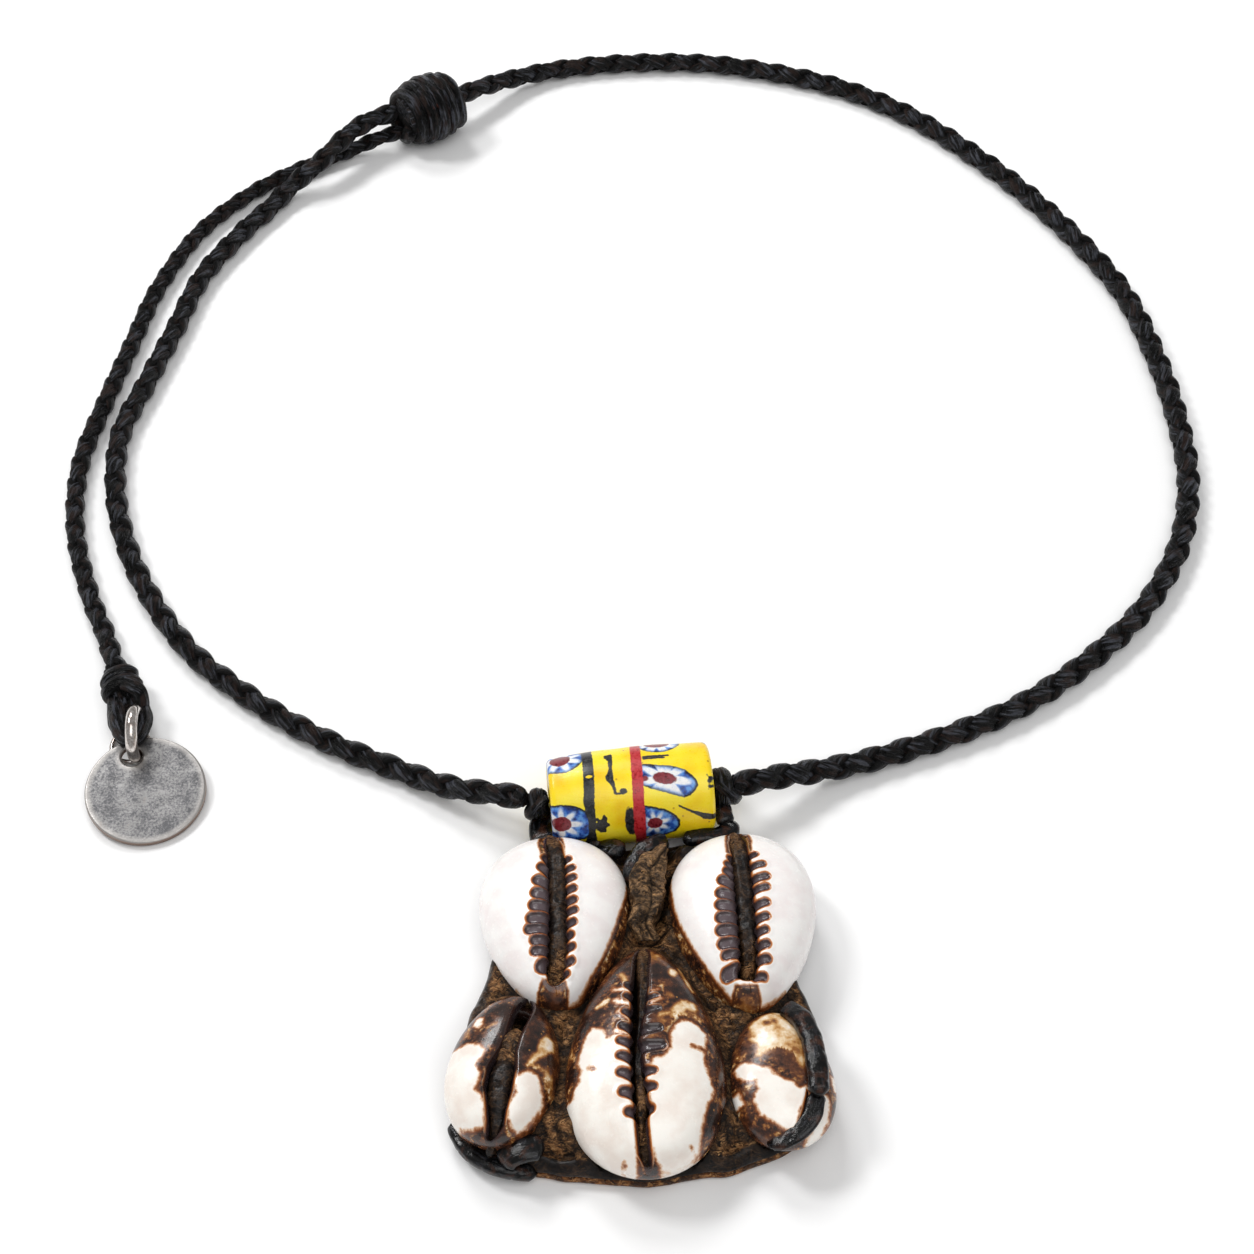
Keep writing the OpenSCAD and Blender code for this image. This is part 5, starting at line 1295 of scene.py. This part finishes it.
def tag_surface(round_=220, across=46):
    """The tag as a ring-shaped surface: rows run from the hole's circle to the rim's, over the
    upper side, round the edge, back under it and up through the hole. Each row is the mean of the
    two circles in a changing share."""
    a = np.linspace(0, 2 * np.pi, round_, endpoint=False)
    hole = np.stack([-tag_d / 2 + hole_in + hole_d / 2 * np.cos(a), hole_d / 2 * np.sin(a)], 1)
    centre = np.array([-tag_d / 2 + hole_in, 0.0])
    ray = np.stack([np.cos(a), np.sin(a)], 1)
    b = ray @ centre
    rim = centre + ray * (-b + np.sqrt(b * b + (tag_d / 2) ** 2 - centre @ centre))[:, None]
    soft = 0.32
    bend = np.linspace(0, np.pi / 2, 6)
    far = np.linalg.norm(rim - hole, axis=1)
    rows = [(soft * (1 - np.sin(t)), tag_thick - soft * (1 - np.cos(t))) for t in bend[::-1]]
    rows = [(d, z, 0) for d, z in rows] + [(soft, tag_thick, s) for s in np.linspace(0, 1, across)[1:-1]]
    rows += [(soft * (1 - np.sin(t)), tag_thick - soft * (1 - np.cos(t)), 1) for t in bend]
    rows += [(soft * (1 - np.sin(t)), soft * (1 - np.cos(t)), 1) for t in bend[::-1]]
    rows += [(soft, 0.0, s) for s in np.linspace(1, 0, 12)[1:-1]]
    rows += [(soft * (1 - np.sin(t)), soft * (1 - np.cos(t)), 0) for t in bend]
    grid = []
    for inset, z, s in rows:
        share = inset / far
        if s == 1:
            share = 1 - inset / far
        elif s > 0:
            share = (inset + (far - 2 * inset) * s) / far
        p = hole + (rim - hole) * np.broadcast_to(share, far.shape)[:, None]
        grid.append(np.column_stack([p, np.full(round_, z)]))
    grid = np.array(grid)
    upper = np.clip((grid[..., 2] - 0.5) * 2, 0, 1)
    grid[..., 2] += upper * (0.035 * lumps(grid[..., 0], grid[..., 1], 3.2, 61)
                             + 0.02 * lumps(grid[..., 0], grid[..., 1], 1.4, 62))
    edge = np.minimum(tag_d / 2 - np.linalg.norm(grid[..., :2], axis=2),
                      np.linalg.norm(grid[..., :2] - centre, axis=2) - hole_d / 2)
    edge = np.where((grid[..., 2] < tag_thick - 0.2) & (edge < 0.3), -1.0, edge)
    t, lean = np.radians(tag_turn), np.radians(tag_lean)
    gx, gy, gz = grid[..., 0], grid[..., 1], grid[..., 2]
    gx, gz = gx * np.cos(lean) + gz * np.sin(lean), gz * np.cos(lean) - gx * np.sin(lean)
    low = tag_d / 2 * np.sin(lean) + 0.05
    return np.stack([tag_at[0] + gx * np.cos(t) - gy * np.sin(t),
                     tag_at[1] + gx * np.sin(t) + gy * np.cos(t), low + gz], -1), edge


def silver(name, bright, mid, dark, low_rough, high_rough, stain_share):
    """Sterling silver, tumbled and darkened with sulphur: the hollows keep a blue-grey to brown
    tarnish, the rims are rubbed bright (`edge` is the distance from them, -1 on the cut side)."""
    m = finish_named(name)
    mm = in_mm(m)
    blotch = add(m, "TexNoise", {"Vector": mm, "Scale": 0.45, "Detail": 3.0, "Roughness": 0.6})
    fine = add(m, "TexNoise", {"Vector": mm, "Scale": 3.4, "Detail": 3.0, "Roughness": 0.7})
    scratch = drawn_out(m, mm, (0.5, 7.0, 4.0), 0.6)
    mixed = add(m, "Math", {0: fine, 1: 1.5, 2: blotch}, operation="MULTIPLY_ADD")
    share = add(m, "MapRange", {0: mixed, 1: 0.95, 2: 1.55})
    tone = add(m, "ValToRGB", {0: share}, [(0.15, paint(dark)), (0.45, paint(mid)), (0.8, paint(bright))])
    edge = add(m, "Attribute", attribute_name="edge", out="Fac")
    near = add(m, "MapRange", {0: edge, 1: 0.1, 2: 1.0, 3: 0.85, 4: 0.0})
    colour = add(m, "Mix", {0: near, 6: tone, 7: paint("#bcb8b4")}, data_type="RGBA", out=2)
    copper = add(m, "ValToRGB", {0: blotch},
                 [(stain_share, (0, 0, 0, 1)), (stain_share + 0.14, (0.6, 0.6, 0.6, 1))])
    colour = add(m, "Mix", {0: copper, 6: colour, 7: paint("#8f7a6e")}, data_type="RGBA", out=2)
    cut = add(m, "MapRange", {0: edge, 1: -0.5, 2: 0.05, 3: 1.0, 4: 0.0})
    colour = add(m, "Mix", {0: cut, 6: colour, 7: paint("#86746a")}, data_type="RGBA", out=2)
    rough = add(m, "MapRange", {0: share, 1: 0.2, 2: 0.8, 3: high_rough, 4: low_rough})
    relief = add(m, "Math", {0: scratch, 1: fine})
    bump = add(m, "Bump", {"Height": relief, "Strength": 0.25,
                           "Distance": 0.00006 if low_rough > 0.2 else 0.00001})
    metal = add(m, "BsdfPrincipled",
                {"Base Color": colour, "Metallic": 1.0, "Roughness": rough, "Normal": bump})
    add(m, "OutputMaterial", {"Surface": metal})
    return m


tumbled_silver = silver("tumbled_silver", "#8c8b8a", "#747374", "#5c5c5e", 0.38, 0.5, 0.68)
polished_silver = silver("polished_silver", "#e0dbd7", "#cfc9c4", "#b3aaa4", 0.12, 0.2, 0.5)
tag_grid, tag_edge = tag_surface()
tag = skin("round_tag", [tag_grid], tumbled_silver, "tag_silver", ("tag_disc",), loop=True, edge=[tag_edge])


def wire_ring(name, node, middle, d, wire, ahead, up, gap=0.0, count=160):
    """A ring of round wire as a tube round a circle. `gap` pinches the wire at one place, where
    its two cut ends meet."""
    turn = np.linspace(0, 2 * np.pi, count, endpoint=False)
    angle = np.linspace(0, 2 * np.pi, 24, endpoint=False)
    ahead, up = unit(np.asarray(ahead, float)), unit(np.asarray(up, float))
    out = np.cos(turn)[:, None] * ahead + np.sin(turn)[:, None] * up
    axis = np.cross(ahead, up)
    joint_at, joint_half = 4.0, 0.022
    pinch = 1 - gap * np.exp(-((turn - joint_at) / joint_half) ** 2)
    r = wire / 2 * pinch
    grid = (np.asarray(middle, float) + (out * (d / 2 - wire / 2))[:, None]
            + out[:, None] * (r[:, None] * np.cos(angle))[..., None]
            + axis * (r[:, None] * np.sin(angle))[..., None])
    return skin(name, [grid], polished_silver, "ring_silver", (node,), loop=True,
                edge=[np.full(grid.shape[:2], 2.0)])


ring_thick = wire_ring("thick_jump_ring", "jump_ring", (-67.15, 34.0, 4.05), 8.0, 1.6, heading(-88),
                       (0, 0, 1), gap=0.3)
ring_thin = wire_ring("thin_ring", "small_ring", (-68.4, 34.5, 0.42), 5.8, 0.7, (1, 0, 0), (0, 1, 0),
                      gap=0.25, count=96)
